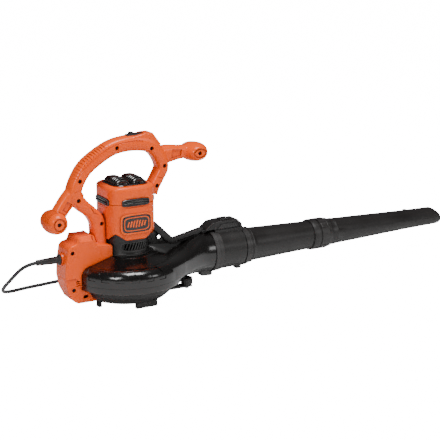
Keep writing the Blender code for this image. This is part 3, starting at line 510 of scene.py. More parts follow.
# Intake skirt: a black bowl that stands on four feet and carries the slatted intake door.
# Shallow panels run round its wall.
skirt_profile = [
    (78, 13), (79.5, 13.1), (88.2, 20.6), (93.4, 28), (95.4, 34), (95.9, 40), (96, 47.7), (66, 47.7), (66, 44),
    (91.5, 44), (91.5, 35), (84.5, 23), (75, 17), (75, 13),
]
skirt_skin = turned(skirt_profile, 144)
skirt_blocks = []
for side in (-1, 1):
    low, high = sorted((side * 64, side * 74))
    skirt_blocks.append(block(-13, 32, low, high, 0, 21))
panels = []
for k in range(12):
    middle = math.radians(30 * k + 12)
    outer = []
    inner = []
    for radius, height, span in ((95.2, 24.5, 0.155), (96.6, 31, 0.16), (97.2, 36, 0.16), (97.2, 43.5, 0.16)):
        for rows, push in ((outer, 4), (inner, -2.6)):
            rows.append([((radius + push) * math.cos(middle + span * t),
                          (radius + push) * math.sin(middle + span * t), height)
                         for t in (-1, -0.5, 0, 0.5, 1)])
    panels.append(skin([a + list(reversed(b)) for a, b in zip(outer, inner)]))
skirt_skin = carved(skirt_skin, skirt_blocks, "UNION")
door_way = turned([(0.01, 10), (73.2, 10), (73.2, 43), (0.01, 43)], 96)
knob_way = block(60, 140, -46, -18, 5, 31)
skirt_skin = carved(skirt_skin, [together(panels), door_way, knob_way])
lugs = []
for side in (-1, 1):
    low, high = sorted((side * 14, side * 26))
    lugs += [block(-74.5, -67.5, low, high, 0, 23), block(-72, -61, low + 0.01, high - 0.01, 13.4, 22.9)]
skirt_skin = carved(skirt_skin, lugs, "UNION")
fit_out("intake_skirt_shell", skirt_skin, matt_black, "frame", ["intake_skirt"], 30)

# Motor collar: the black neck under the orange cover, with slanted louvres in an oval frame on each side.
# The neck is one turned wall; the louvres are moulded across its openings.
louvre_height = 120.5
neck_profile = [
    (46.4, 106), (47.2, 104.6), (49.4, 104.2), (49.4, 102.6), (44, 102.6), (43.4, 106), (43.4, 149.6), (46.4, 149.6),
]
neck = turned(neck_profile, 120)
for side in (-1, 1):
    loop = soft_loop(26.5, 7.4, 3.2, 48, 0)
    neck = carved(neck, [skin([[(p, side * y, louvre_height + q) for p, q in loop] for y in (38, 54)])])
neck_louvres = []
for side in (-1, 1):
    for k in range(9):
        x = -24 + 6 * k
        radius = 45.4
        foot = math.asin(max(-1, min(1, (x - 3) / radius)))
        head = math.asin(max(-1, min(1, (x + 3) / radius)))
        rows = []
        for t in range(5):
            a = foot + (head - foot) * t / 4
            z = 112.6 + 4 * t
            ring = []
            for wide, deep in ((-1.2, 0), (1.2, 0), (1.2, -3), (-1.2, -3)):
                ring.append(((radius + deep) * math.sin(a) + wide, side * (radius + deep) * math.cos(a), z))
            rows.append(ring)
        neck_louvres.append(skin(rows))
for side in (-1, 1):
    frame_rows = []
    for k in range(64):
        p, q = softened(2 * math.pi * k / 64, 27.4, 8.3, 3.2)
        p2, q2 = softened(2 * math.pi * k / 64, 29.4, 10.3, 3.2)
        ring = []
        for (u, v), radius in (((p, q), 46.0), ((p, q), 47.6), ((p2, q2), 47.6), ((p2, q2), 46.0)):
            a = math.asin(u / 46.4)
            ring.append((radius * math.sin(a), side * radius * math.cos(a), louvre_height + v))
        frame_rows.append(ring)
    neck_louvres.append(skin(frame_rows, closed=True))
neck = together([neck] + neck_louvres)
fit_out("motor_neck", neck, matt_black, "frame", ["motor_collar"], 35)

# Handle housing: an orange clamshell in two halves that meet at the middle plane and hold the loop handle,
# the two cross grips, the rear body and the switch. Each half is moulded hollow with a thin wall.


def limb(path, shrink=0.0, steps=36, power=3.2, per_span=5, trim=0.0):
    """A bar along a path of (x, z, half thickness, half width) in the middle plane."""
    line = flowing(path, per_span)
    rings = []
    for i, (x, z, thick, width) in enumerate(line):
        a = line[max(i - 1, 0)]
        b = line[min(i + 1, len(line) - 1)]
        along = Vector((b[0] - a[0], b[1] - a[1])).normalized()
        shift = along * trim if i == 0 else along * -trim if i == len(line) - 1 else Vector((0, 0))
        ring = []
        for k in range(steps):
            u, v = softened(2 * math.pi * (k + 0.5) / steps, thick - shrink, width - shrink, power)
            ring.append((x + shift.x - along.y * u, v, z + shift.y + along.x * u))
        rings.append(ring)
    return skin(rings)


def plate(points, y0, y1, bevel=0.0, segments=3):
    """A flat plate with the given outline in the middle plane, between two widths."""
    work = bmesh.new()
    near = [work.verts.new((x, y0, z)) for x, z in points]
    far = [work.verts.new((x, y1, z)) for x, z in points]
    count = len(points)
    work.faces.new(near)
    work.faces.new(list(reversed(far)))
    for i in range(count):
        j = (i + 1) % count
        work.faces.new((near[j], near[i], far[i], far[j]))
    bmesh.ops.recalc_face_normals(work, faces=work.faces)
    work.normal_update()
    if bevel:
        bmesh.ops.bevel(work, geom=list(work.edges), offset=bevel, segments=segments, profile=0.5, affect="EDGES",
                        clamp_overlap=True)
        work.normal_update()
    bmesh.ops.triangulate(work, faces=work.faces)
    mesh = bpy.data.meshes.new("plate")
    work.to_mesh(mesh)
    work.free()
    return mesh


def barrel(radius, t):
    """A grip's radius at t, which runs from -1 at one end to 1 at the other."""
    return radius * (1 - abs(t) ** 6 * 0.3 + 0.15 * math.cos(t * math.pi / 2) ** 2)


def cross_grip(x, z, radius, half_length, stretch=1.0):
    """A barrel-shaped grip that lies across the machine with rounded ends."""
    rings = []
    for k in range(25):
        t = -1 + k / 12
        r = barrel(radius, t)
        wide = r * (stretch + (stretch - 1) * math.cos(t * math.pi / 2) ** 2)
        rings.append([(x + u, t * half_length, z + v) for u, v in soft_loop(wide, r, 2, 48, 0)])
    return skin(rings)


def rounded_square(half, corner, height, steps=96, lift=0.0):
    """A ring of a rounded square, with its corners raised by lift."""
    loop = soft_loop(half, half, 2 + 3.4 * (1 - corner / half), steps)
    return [(x, y, height + lift * max(0.0, min(1.0, (min(abs(x), abs(y)) - 21) / 20))) for x, y in loop]


wall = 2.8
loop_path = [
    (-62, 116, 15, 17), (-62, 148, 15, 17), (-64, 172, 15, 17), (-78, 192, 12.5, 18), (-96, 208, 13.5, 18),
    (-110, 227, 15, 18),
    (-107, 248, 14, 18), (-91, 275, 14.5, 18), (-70, 293, 15, 18), (-34, 313, 15, 18), (-3, 320, 15.5, 18),
    (28, 320, 16, 18),
    (53, 313, 15, 18), (70, 296, 13.5, 18), (81, 268, 12.5, 18), (72, 247, 12, 17), (62, 230, 12, 17),
    (57, 214, 11.5, 16),
]
front_arm = [(74, 289, 19, 15), (95, 291, 18, 14.5), (122, 292, 14, 14), (150, 291, 13, 14)]
rear_arm = [(-102, 240, 17, 15), (-122, 222, 15.5, 14.5), (-138, 202, 14.5, 14), (-152, 182, 14.5, 14)]
front_grip = (156, 290)
rear_grip = (-153, 180)
rear_radius = 20.5
body_outline = [
    (-136, 127), (-131, 133), (-118, 136), (-114, 149), (-80, 149), (-75, 131), (-39, 125), (-34, 119), (-34, 98),
    (-66, 60),
    (-68, 14), (-118, 14), (-127, 20), (-138, 42), (-143, 68), (-141, 98),
]


def surroundings(grow):
    """The space of the casing, skirt and motor cover, grown by a clearance."""
    profile = [
        (0.01, 13 - grow), (78 + grow, 13 - grow), (88 + grow, 21 - grow), (95 + grow, 34 - grow),
        (96 + grow, 48 - grow),
        (109, 48 - grow), (113 + grow, 52 - grow), (113 + grow, 68),
    ]
    for k in range(1, 13):
        turn = math.radians(90 * k / 12)
        profile.append((93 + (20 + grow) * math.cos(turn), 68 + (20 + grow) * math.sin(turn)))
    profile += [(50 + grow, 102 + grow), (50 + grow, 133.5), (0.01, 133.5)]
    box_part = skin([rounded_square(50 + grow, 22, 133), rounded_square(50 + grow, 22, 243 + grow)])
    return [turned(profile, 144), box_part]


switch_hump = plate([(10, 334), (42, 340), (57, 340), (76, 314), (62, 302), (24, 312)], -16, 16, 3)
shell_skin = blended("shell_skin", [
    limb(loop_path), limb(front_arm), limb(rear_arm), cross_grip(*front_grip, 17, 30, 1.25),
    cross_grip(*rear_grip, rear_radius, 30), plate(body_outline, -27, 27, 3.0), switch_hump,
], 1.35, 2, 0.4)
shell_room = blended("shell_room", [
    limb(loop_path[:5], wall, 16, trim=-12), limb(loop_path[5:], wall, 16, trim=-12),
    plate([(x * 0.965 - 3.5, min(z * 0.96 + 3.4, 130.5)) for x, z in body_outline], -27 + wall, 27 - wall),
], 2.6, 0)
shell_room = carved(shell_room, surroundings(wall + 0.6))
shell_skin = carved(shell_skin, surroundings(0.45) + [shell_room])


def bead(points, radius, steps=10):
    """A thin round tool that follows points, for cut lines."""
    rings = []
    for i, place in enumerate(points):
        a = Vector(points[max(i - 1, 0)])
        b = Vector(points[min(i + 1, len(points) - 1)])
        along = (b - a).normalized()
        side = along.cross(Vector((0, 1, 0)) if abs(along.y) < 0.9 else Vector((1, 0, 0))).normalized()
        other = along.cross(side)
        rings.append([tuple(Vector(place) + u * side + v * other) for u, v in soft_loop(radius, radius, 2, steps, 0)])
    return skin(rings)


def both_sides(maker):
    """Make a tool for the right side and its mirror for the left."""
    right = maker()
    left = right.copy()
    left.transform(Matrix.Scale(-1, 4, (0, 1, 0)))
    left.flip_normals()
    return [right, left]


def along_loop(start, end, offset, y, count=40):
    """Points beside the loop's middle line, between two shares of its length."""
    line = flowing(loop_path, 12)
    lengths = [0.0]
    for a, b in zip(line, line[1:]):
        lengths.append(lengths[-1] + math.dist(a[:2], b[:2]))
    points = []
    for k in range(count):
        goal = lengths[-1] * (start + (end - start) * k / (count - 1))
        i = max(1, min(len(line) - 1, next((n for n, v in enumerate(lengths) if v >= goal), len(line) - 1)))
        t = (goal - lengths[i - 1]) / max(1e-6, lengths[i] - lengths[i - 1])
        a, b = line[i - 1], line[i]
        along = Vector((b[0] - a[0], b[1] - a[1])).normalized()
        x = a[0] + (b[0] - a[0]) * t - along.y * offset
        z = a[1] + (b[1] - a[1]) * t + along.x * offset
        points.append((x, y, z))
    return points


def smooth_plate(points, y0, y1):
    """A plate tool on the right side and its mirror."""
    return both_sides(lambda: plate(points, y0, y1))


housing_tools = []
housing_tools += smooth_plate([(98, 283), (101, 301), (123, 299), (120, 286)], -20, -11.2)
housing_tools += smooth_plate([(-119, 214), (-129.5, 220.5), (-140, 204.5), (-131, 198)], -20, -11.4)
housing_tools += both_sides(lambda: bead(along_loop(0.36, 0.70, 5.6, -18.2, 70), 1.6))
for y, line in (
        (-17.4, ((-86, 214), (-76, 192), (-62, 186), (-47, 180))), (-16.8, ((58, 250), (88, 243))),
        (-18.2, ((-92, 244), (-118, 236)))):
    housing_tools += both_sides(lambda: bead([(x, y, z) for x, z in line], 0.9))
for k in range(15):
    for side in (-1, 1):
        share = 0.355 + 0.0125 * k
        rib_line = []
        for turn in (66, 55, 44, 33, 22, 12, 4):
            u, v = softened(math.radians(turn), 14.9, 18.0, 3.2)
            rib_line.append(along_loop(share, share + 0.004, u, side * v, 2)[0])
        housing_tools.append(bead(rib_line, 1.25, 8))
lower_step = [(-152, 66), (-122, 67.5), (-117, 62), (-112.5, 50), (-99, 44), (-99, 36), (-84, 36), (-84, 2), (-152, 2)]
housing_tools += smooth_plate(lower_step, -32, -24.9)
for k in range(3):
    drop = 4.4 * k
    fin = [(-120.5, 60.2 - drop), (-113, 62 - drop), (-113, 60.2 - drop), (-120.5, 58.4 - drop)]
    housing_tools += smooth_plate(fin, -30, -22)
housing_tools += smooth_plate([(-101 + p, 27 + q + p * 0.12) for p, q in soft_loop(5.6, 3.2, 3.4, 24, 0)], -30, -18)
for side in (-1, 1):
    housing_tools.append(skin([[(x, side * 27.8, 138.5), (x, side * 27.8, 153),
                                (x, side * 16.5, 153)] for x in (-112, -84)]))
for x, z, wide, tall, deep in ((156, 290, 15, 9.8, 2.2), (-153, 180, 13, 13, 2.2)):
    for side in (-1, 1):
        ring_rows = [[(x + u, side * y, z + v) for u, v in soft_loop(wide, tall, 2, 40, 0)] for y in (30.6, 30.0 - deep)]
        inner_rows = [[(x + u, side * y, z + v) for u, v in soft_loop(wide - 3.6, tall - 3, 2, 40, 0)] for y in (29.2, 20)]
        housing_tools.append(carved(skin(ring_rows), [skin(inner_rows)]))
rear_x, rear_z = rear_grip
groove = ((-1.1, -0.8), (-1.1, 0.8), (0.9, 1.2), (0.9, -1.2))
for y in [-18 + 4.0 * k for k in range(10)]:
    around = barrel(rear_radius, y / 30)
    rows = []
    for a in (2 * math.pi * k / 40 for k in range(40)):
        rows.append([(rear_x + (around + u) * math.cos(a), y + v, rear_z + (around + u) * math.sin(a)) for u, v in groove])
    housing_tools.append(skin(rows, closed=True))
for a in (2 * math.pi * k / 30 for k in range(30)):
    if math.cos(a - math.radians(215)) > -0.35:
        for side in (-1, 1):
            line = [(rear_x + r * math.cos(a), side * y, rear_z + r * math.sin(a)) for r, y in ((20.3, 22.6), (18.6, 29.6))]
            housing_tools.append(bead(line, 1.1, 8))
switch_way = [block(4, 40, -9, 9, 331.7, 360), block(8, 36, -7.5, 7.5, 316, 340)]
vent_way = block(40, 52.2, -31, 31, 203, 219.2)
relief_way = turned([(0.01, -190), (8, -190), (8, -120), (0.01, -120)], 48, (0, 103), "X")
screw_places = [
    (53, 308, 18), (-23, 316, 18), (81, 270, 18), (64, 231, 17), (-103, 258, 18), (-107, 220, 18), (-59, 168, 17),
    (-127, 119, 27),
    (-126, 43, 27), (156, 290, 30), (-153, 180, 30),
]


def side_bore(x, z, radius, y0, y1, steps=28):
    """A round tool that runs across the machine."""
    return skin([[(x + u, y, z + v) for u, v in soft_loop(radius, radius, 2, steps, 0)] for y in (y0, y1)])


relief_boss = turned([(8.6, -143.6), (12.4, -143.6), (13, -143), (13.6, -137), (8.6, -137)], 64, (0, 103), "X")
shell_skin = carved(shell_skin, [relief_boss], "UNION")
shell_skin = carved(shell_skin, [together(housing_tools)], crossing=True)
shell_skin = carved(shell_skin, [switch_way[0], switch_way[1], vent_way, relief_way])
for side, name, node in ((-1, "housing_shell_right", "housing_right"), (1, "housing_shell_left", "housing_left")):
    low, high = sorted((side * 0.15, side * 90))
    half = carved(shell_skin.copy(), [block(-300, 300, low, high, -10, 400)], "INTERSECT")
    posts = [side_bore(x, z, 6.2, *sorted((side * 0.16, side * (wide - 1.6)))) for x, z, wide in screw_places]
    half = carved(half, [together(posts)], "UNION")
    if side < 0:
        ways = [side_bore(x, z, 4.3, -wide - 4, -wide + 7) for x, z, wide in screw_places]
        ways += [side_bore(x, z, 2.3, -wide + 6.9, 1) for x, z, wide in screw_places]
        half = carved(half, [together(ways[:11]), together(ways[11:])])
    else:
        half = carved(half, [together([side_bore(x, z, 2.3, -1, 9) for x, z, wide in screw_places])])
    fit_out(name, half, orange_plastic, "frame", [node], 28)

# Housing screws: pan heads with a cross recess, sunk in their bores and painted black.
# One screw is drawn in nodes and set at every bore mouth.


def node_row(name, inputs):
    """A new geometry tree with a Geometry input and named inputs, and its tool calls."""
    tree = bpy.data.node_groups.new(name, "GeometryNodeTree")
    tree.interface.new_socket("Geometry", in_out="INPUT", socket_type="NodeSocketGeometry")
    tree.interface.new_socket("Geometry", in_out="OUTPUT", socket_type="NodeSocketGeometry")
    for label, kind in inputs:
        tree.interface.new_socket(label, in_out="INPUT", socket_type=kind)
    return tree, tree.nodes.new("NodeGroupInput"), tree.nodes.new("NodeGroupOutput")


def grown(name, base_mesh, tree, values):
    """Run a geometry tree on a mesh and keep the result as a plain mesh."""
    holder = bpy.data.objects.new(name, base_mesh)
    bpy.context.collection.objects.link(holder)
    growth = holder.modifiers.new("growth", "NODES")
    growth.node_group = tree
    for item in tree.interface.items_tree:
        if item.in_out == "INPUT" and item.name in values:
            growth[item.identifier] = values[item.name]
    holder.update_tag()
    return settled(holder)


screw_tree, screw_in, screw_out = node_row("set_screws", [
    ("Head Radius", "NodeSocketFloat"), ("Head Height", "NodeSocketFloat"), ("Shank Radius", "NodeSocketFloat"),
    ("Shank Length", "NodeSocketFloat"), ("Finish", "NodeSocketMaterial")])
head = screw_tree.nodes.new("GeometryNodeMeshCylinder")
head.inputs["Vertices"].default_value = 28
shank = screw_tree.nodes.new("GeometryNodeMeshCylinder")
shank.inputs["Vertices"].default_value = 14
recess = screw_tree.nodes.new("GeometryNodeMeshBoolean")
recess.operation = "DIFFERENCE"
screw_join = screw_tree.nodes.new("GeometryNodeJoinGeometry")


def lifted(source, height, goal):
    """Move a node's mesh up and pass it on."""
    lift = screw_tree.nodes.new("GeometryNodeTransform")
    lift.inputs["Translation"].default_value = (0, 0, height)
    screw_tree.links.new(source.outputs["Mesh"], lift.inputs["Geometry"])
    screw_tree.links.new(lift.outputs["Geometry"], goal)


lifted(head, 1.3, recess.inputs["Mesh 1"])
for size in ((4.6, 1.1, 2.4), (1.1, 4.6, 2.4)):
    arm = screw_tree.nodes.new("GeometryNodeMeshCube")
    arm.inputs["Size"].default_value = size
    lifted(arm, 2.7, recess.inputs["Mesh 2"])
screw_tree.links.new(recess.outputs["Mesh"], screw_join.inputs["Geometry"])
lifted(shank, -7.5, screw_join.inputs["Geometry"])
face_out = screw_tree.nodes.new("GeometryNodeTransform")
face_out.inputs["Rotation"].default_value = (math.radians(90), 0, 0)
seat = screw_tree.nodes.new("GeometryNodeInstanceOnPoints")
real = screw_tree.nodes.new("GeometryNodeRealizeInstances")
paint = screw_tree.nodes.new("GeometryNodeSetMaterial")
wired(screw_tree, (screw_in, "Head Radius", head, "Radius"), (screw_in, "Head Height", head, "Depth"),
      (screw_in, "Shank Radius", shank, "Radius"), (screw_in, "Shank Length", shank, "Depth"),
      (screw_join, "Geometry", face_out, "Geometry"), (screw_in, "Geometry", seat, "Points"),
      (face_out, "Geometry", seat, "Instance"), (seat, "Instances", real, "Geometry"),
      (real, "Geometry", paint, "Geometry"),
      (screw_in, "Finish", paint, "Material"), (paint, "Geometry", screw_out, "Geometry"))
seats = bpy.data.meshes.new("screw_seats")
seats.from_pydata([(x, -wide + 4.4 + 2.6, z) for x, z, wide in screw_places], [], [])
black_steel = moulded("black_steel", (0.03, 0.03, 0.032), (0.2, 0.2, 0.2), (0.3, 0.45), metal=0.8, grain=2600.0)
screw_nodes = [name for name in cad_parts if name.startswith("screw_")]
fit_out("housing_screws", grown("housing_screws", seats, screw_tree, {
    "Head Radius": 3.6, "Head Height": 2.6, "Shank Radius": 1.6, "Shank Length": 15.0, "Finish": black_steel}),
    black_steel, "frame", screw_nodes, 30)

# Speed switch: a black bezel let into the top of the handle, with a ridged thumb slider.
# The slider rides in the bezel and pushes the switch inside.
bezel_rings = []
for half_x, half_y, z in (
        (17.6, 8.6, 332), (17.6, 8.6, 336.8), (16.6, 7.7, 338.4), (14.4, 4.3, 338.4), (14.0, 4.0, 337.4), (14, 4, 332)):
    bezel_rings.append([(22 + p, q, z) for p, q in soft_loop(half_x, half_y, 6, 64)])
fit_out("switch_surround", skin(bezel_rings, closed=True), matt_black, "frame", ["switch_bezel"], 35)
thumb_rings = []
for half_x, half_y, z in (
        (6.4, 3.5, 332.4), (6.4, 3.5, 338.6), (4.6, 6.0, 339.0), (4.6, 6.0, 341.2), (4.0, 5.3, 342.3),
        (3.2, 4.6, 342.5)):
    thumb_rings.append([(15.5 + p, q, z) for p, q in soft_loop(half_x, half_y, 5, 48)])
thumb_grooves = [block(11.6 + 1.9 * k, 12.4 + 1.9 * k, -7, 7, 341.7, 344) for k in range(5)]
thumb = carved(skin(thumb_rings), [together(thumb_grooves)])
fit_out("thumb_slider", thumb, gloss_black, "slider", ["speed_slider"], 30)

# Motor cover: two orange shells, rounded square in plan, that meet at a level seam.
# Black louvred inserts are let into the seam on all four sides and a badge sits on the front.
cover_half = 50
cover_corner = 22
inner_half = cover_half - wall
inner_corner = 19.2
corner_lift = 14
vent_height = 211.2


def cover_ring(height, half=cover_half, corner=cover_corner, lift=0.0):
    """One level of the motor cover."""
    return rounded_square(half, corner, height, lift=lift)


lower_rows = [cover_ring(135.5, 48.9, lift=corner_lift), cover_ring(136.3, 49.7, lift=corner_lift)]
lower_rows += [cover_ring(138 + 3 * k, lift=corner_lift * (1 - k / 10) ** 1.5) for k in range(10)]
lower_rows += [cover_ring(172 + 7 * k) for k in range(6)]
lower_rows += [cover_ring(207.7, 49.3), cover_ring(207.7, inner_half, inner_corner)]
lower_rows += [cover_ring(172, inner_half, inner_corner), cover_ring(136.5, inner_half, inner_corner, corner_lift)]
upper_rows = [cover_ring(208, 49.3), cover_ring(208.7)] + [cover_ring(212 + 4 * k) for k in range(6)]
for k in range(1, 9):
    turn = math.radians(90 * k / 8)
    upper_rows.append(cover_ring(235 + 8 * math.sin(turn), 42 + 8 * math.cos(turn), 21 - 5 * k / 8))
upper_rows += [
    cover_ring(243, 39.5, 15), cover_ring(241.8, 38.4, 14.5), cover_ring(236, 38, 14), cover_ring(235.5, 44, 19),
    cover_ring(231, inner_half, inner_corner), cover_ring(208, inner_half, inner_corner),
]
slot_tools = []
pocket_tools = []
for turn in (0, 90):
    for tools, half_x, half_z, start, sides in ((slot_tools, 30, 7.5, -60, (1,)), (pocket_tools, 34.5, 10.5, 49, (1, -1))):
        for side in sides:
            loop = soft_loop(half_x, half_z, 5, 64, 0)
            tool = skin([[(p, side * y, vent_height + q) for p, q in loop] for y in (start, 60)])
            tool.transform(Matrix.Rotation(math.radians(turn), 4, "Z"))
            tools.append(tool)
for name, rows, node in (
        ("motor_cover_lower_shell", lower_rows, "motor_cover_lower"),
        ("motor_cover_top_shell", upper_rows, "motor_cover_top")):
    cover = carved(skin(rows, closed=True), [together(pocket_tools)])
    cover = carved(cover, slot_tools)
    fit_out(name, cover, orange_plastic, "frame", [node], 35)
slat_ends = ((-26.4, 0.3), (-25.8, 1.2), (-24.5, 1.7), (24.5, 1.7), (25.8, 1.2), (26.4, 0.3))
for name, turn in (("side_vent_right", 0), ("side_vent_front", 90), ("side_vent_left", 180), ("side_vent_rear", 270)):
    body_rows = []
    for grow, y in ((0, -46), (0, -50.4), (-0.7, -51.2), (-2.2, -51.2), (-2.6, -49.2)):
        body_rows.append([(p, y, vent_height + q) for p, q in soft_loop(29.6 + grow, 7.1 + grow, 5, 64)])
    parts = [skin(body_rows)]
    for z in (vent_height - 2.5, vent_height + 2.5):
        parts.append(skin([[(x, -49.6 + u, z + v) for u, v in soft_loop(r, 1.25 * r, 2, 16, 0)] for x, r in slat_ends]))
    insert = together(parts)
    insert.transform(Matrix.Rotation(math.radians(turn), 4, "Z"))
    fit_out(name + "_louvre", insert, gloss_black, "frame", [name], 35)

# Badge: a black plate in a raised orange rim, with an orange outline and a plain mark of slanted bars.
# The rim stands on the front face of the motor cover and the bars are printed thick on the plate.
badge_height = 168.5


def outline_ring(half_x, half_z, thick, y0, y1):
    """A rounded rectangular ring that stands on the front face."""
    rows = []
    for (p, q), (p2, q2) in zip(soft_loop(half_x, half_z, 5, 72), soft_loop(half_x - thick, half_z - thick, 5, 72)):
        rows.append([(p, y0, badge_height + q), (p * 0.995, y1, badge_height + q * 0.995), (p2, y1, badge_height + q2),
                     (p2, y0, badge_height + q2)])
    return skin(rows, closed=True)


plate_rows = []
for grow, y in ((0, -50.3), (0, -51.4), (-0.5, -51.8), (-2, -51.8)):
    plate_rows.append([(p, y, badge_height + q) for p, q in soft_loop(30.6 + grow, 17.2 + grow, 5.5, 72)])
fit_out("badge_backing", skin(plate_rows), gloss_black, "frame", ["badge_plate"], 35)
badge_marks = [outline_ring(34.2, 20.6, 3.2, -49.6, -51.6), outline_ring(27.2, 13.9, 1.7, -51.6, -52.3)]
for k in range(7):
    x = -18 + 6 * k
    low = badge_height - 7.6 + abs(k - 3) * 0.9
    high = badge_height + 7.6 - abs(k - 3) * 0.9
    bar = ((x - 3.1, low), (x - 0.1, low), (x + 3.1, high), (x + 0.1, high))
    badge_marks.append(skin([[(p, y, q) for p, q in bar] for y in (-51.6, -52.3)]))
fit_out("badge_rim_and_mark", together(badge_marks), orange_plastic, "frame", (), 35)

# Top vent: two black domed grilles side by side over the motor, each with curved louvre ribs.
# The ribs stand over a dark bed and clips hold the front edge.
dome_x = 17.8
vent_parts = [skin([rounded_square(35.5, 12, 231.4), rounded_square(37.4, 12.5, 234), rounded_square(37.4, 12.5, 243.4),
                    rounded_square(36.4, 12, 244.4), rounded_square(34, 11, 244.6)])]
for side in (-1, 1):
    bed_rows = []
    for grow, z in ((0, 243.5), (0, 246), (-1.2, 248.6), (-4.5, 250.6), (-10, 251.4)):
        bed_rows.append([(side * dome_x + p, q, z) for p, q in soft_loop(15.4 + grow, 31.5 + grow, 4.5, 48)])
    vent_parts.append(skin(bed_rows))
    for k in range(8):
        y = -27 + 7.7 * k
        rib_rows = []
        for t in range(13):
            u = -1 + t / 6
            top = 255.9 - 8.8 * abs(u) ** 3.2 - 4.2 * (y / 30) ** 4
            x = side * dome_x + 16.2 * u
            middle = y + 3.4 * (1 - u * u) - 1.5
            half_rib = ((1.9, 242.8), (1.7, top - 1.1), (0.6, top))
            rib_rows.append([(x, middle - p, z) for p, z in half_rib] + [(x, middle + p, z) for p, z in reversed(half_rib)])
        vent_parts.append(skin(rib_rows))
clip_outline = ((-4.4, 243.2), (-4.4, 246.6), (-3.2, 249), (3.2, 249), (4.4, 246.6), (4.4, 243.2))
for x in (-16, 20):
    vent_parts.append(plate([(x + p, z) for p, z in clip_outline], -37.6, -30, 0.7, 2))
fit_out("top_vent_grille", together(vent_parts), gloss_black, "frame", ["top_vent"], 32)

# Outlet brace: a black strap and ribbed rail that run from the motor cover over the duct, with a bored web.
brace_outline = [
    (52.5, 160), (64, 154), (106, 113), (175, 127), (175, 120), (161, 113.5), (150, 108), (110, 101), (98, 101),
    (86, 112),
    (58, 140), (52.5, 146),
]
strap_dip = [(112, 105), (149, 111.5), (160, 117), (113, 109)]
strap = plate(brace_outline, -7, 7, 1.4, 3)
strap = carved(strap, [together([plate(strap_dip, y0, y1, 0.6, 1) for y0, y1 in ((-7.2, -4.6), (4.6, 7.2))])])
web = plate([(54, 105.5), (98, 102), (104, 108), (80, 130), (54, 150)], 1, 5, 0.5, 2)
web = carved(web, [side_bore(76, 120, 5.5, -10, 10, 40)])
eye = carved(side_bore(76, 120, 8.2, -2.2, 6, 40), [side_bore(76, 120, 5.5, -10, 10, 40)])

slat_tree, slat_in, slat_out = node_row("row_of_slats", [
    ("Count", "NodeSocketInt"), ("Step", "NodeSocketVector"), ("Finish", "NodeSocketMaterial")])
slat_line = slat_tree.nodes.new("GeometryNodeMeshLine")
slat_set = slat_tree.nodes.new("GeometryNodeInstanceOnPoints")
slat_real = slat_tree.nodes.new("GeometryNodeRealizeInstances")
slat_paint = slat_tree.nodes.new("GeometryNodeSetMaterial")
wired(slat_tree, (slat_in, "Count", slat_line, "Count"), (slat_in, "Step", slat_line, "Offset"),
      (slat_line, "Mesh", slat_set, "Points"), (slat_in, "Geometry", slat_set, "Instance"),
      (slat_set, "Instances", slat_real, "Geometry"), (slat_real, "Geometry", slat_paint, "Geometry"),
      (slat_in, "Finish", slat_paint, "Material"), (slat_paint, "Geometry", slat_out, "Geometry"))
tooth = plate([(112, 106.5), (114.2, 107), (114.2, 114.2), (112, 113.8)], -6.9, 6.9, 0.5, 1)
teeth = grown("rail_teeth", tooth, slat_tree, {"Count": 8, "Step": (6.0, 0.0, 1.16), "Finish": matt_black})
fit_out("duct_brace", together([strap, web, eye, teeth]), matt_black, "frame", ["outlet_brace"], 30)

# Connector sleeve: joins the duct to the blow tube and carries the sprung release button in a raised block.
# The sleeve is a matt black turning with the block moulded on; the button is a gloss black cap over a spring.
sleeve_profile = [
    (38.6, 178), (38.6, 196.0), (44, 196.0), (44, 205.6), (43.6, 206), (42.3, 206.2), (42.1, 208), (41.4, 236),
    (40.9, 258),
    (40.7, 261.4), (39.9, 261.6), (39.9, 263.6), (41.5, 263.8), (41.5, 270.6), (41.1, 271), (36.9, 271), (36.9, 200),
    (35.6, 199), (35.6, 178),
]
sleeve = turned(sleeve_profile, 144, (0, tube_height), "X")
latch_outline = [(176, 121), (179, 126), (193, 136), (214, 138), (252, 138), (263, 128), (268, 108), (199, 108),
                 (199, 121)]
latch_dip = [(190, 124), (206, 133.5), (249, 133.5), (256, 127), (260, 119.5), (199, 119.5)]
latch = plate(latch_outline, -16, 16, 1.3, 3)
latch = carved(latch, [turned([(0.01, 190), (39.5, 190), (39.5, 280), (0.01, 280)], 96, (0, tube_height), "X")])
sleeve = carved(sleeve, [latch, plate([(255, 40), (255, 26), (266, 26), (269, 40)], -7, 7, 1, 2)], "UNION")
latch_panels = [plate(latch_dip, y0, y1) for y0, y1 in ((-20, -14.2), (14.2, 20))]
button_way = block(213, 239, -10, 10, 119, 150)
sleeve_bore = turned([(0.01, 200), (36.9, 200), (36.9, 272), (0.01, 272)], 96, (0, tube_height), "X")
sleeve = carved(sleeve, [together(latch_panels), button_way, sleeve_bore])
for y0, y1 in ((-15.4, -14), (14, 15.4)):
    raised = plate([(205, 122), (213, 131), (247, 131), (254, 122)], y0, y1, 0.5, 2)
    sleeve = carved(sleeve, [raised], "UNION")
fit_out("connector_sleeve", sleeve, matt_black, "tube", ["tube_connector"], 30)
button = plate([(213.4, 126), (238.6, 126), (238.6, 139), (236, 141), (216, 141), (213.4, 139)], -9.6, 9.6, 1.2, 3)
button = carved(button, [turned([(0.01, 125), (5.2, 125), (5.2, 130.6), (0.01, 130.6)], 48, (226, 0))])
button = carved(button, [together([block(217 + 4 * k, 218.6 + 4 * k, -7.5, 7.5, 140.2, 144) for k in range(5)])])
fit_out("release_button_cap", button, gloss_black, "button", ["release_button"], 30)

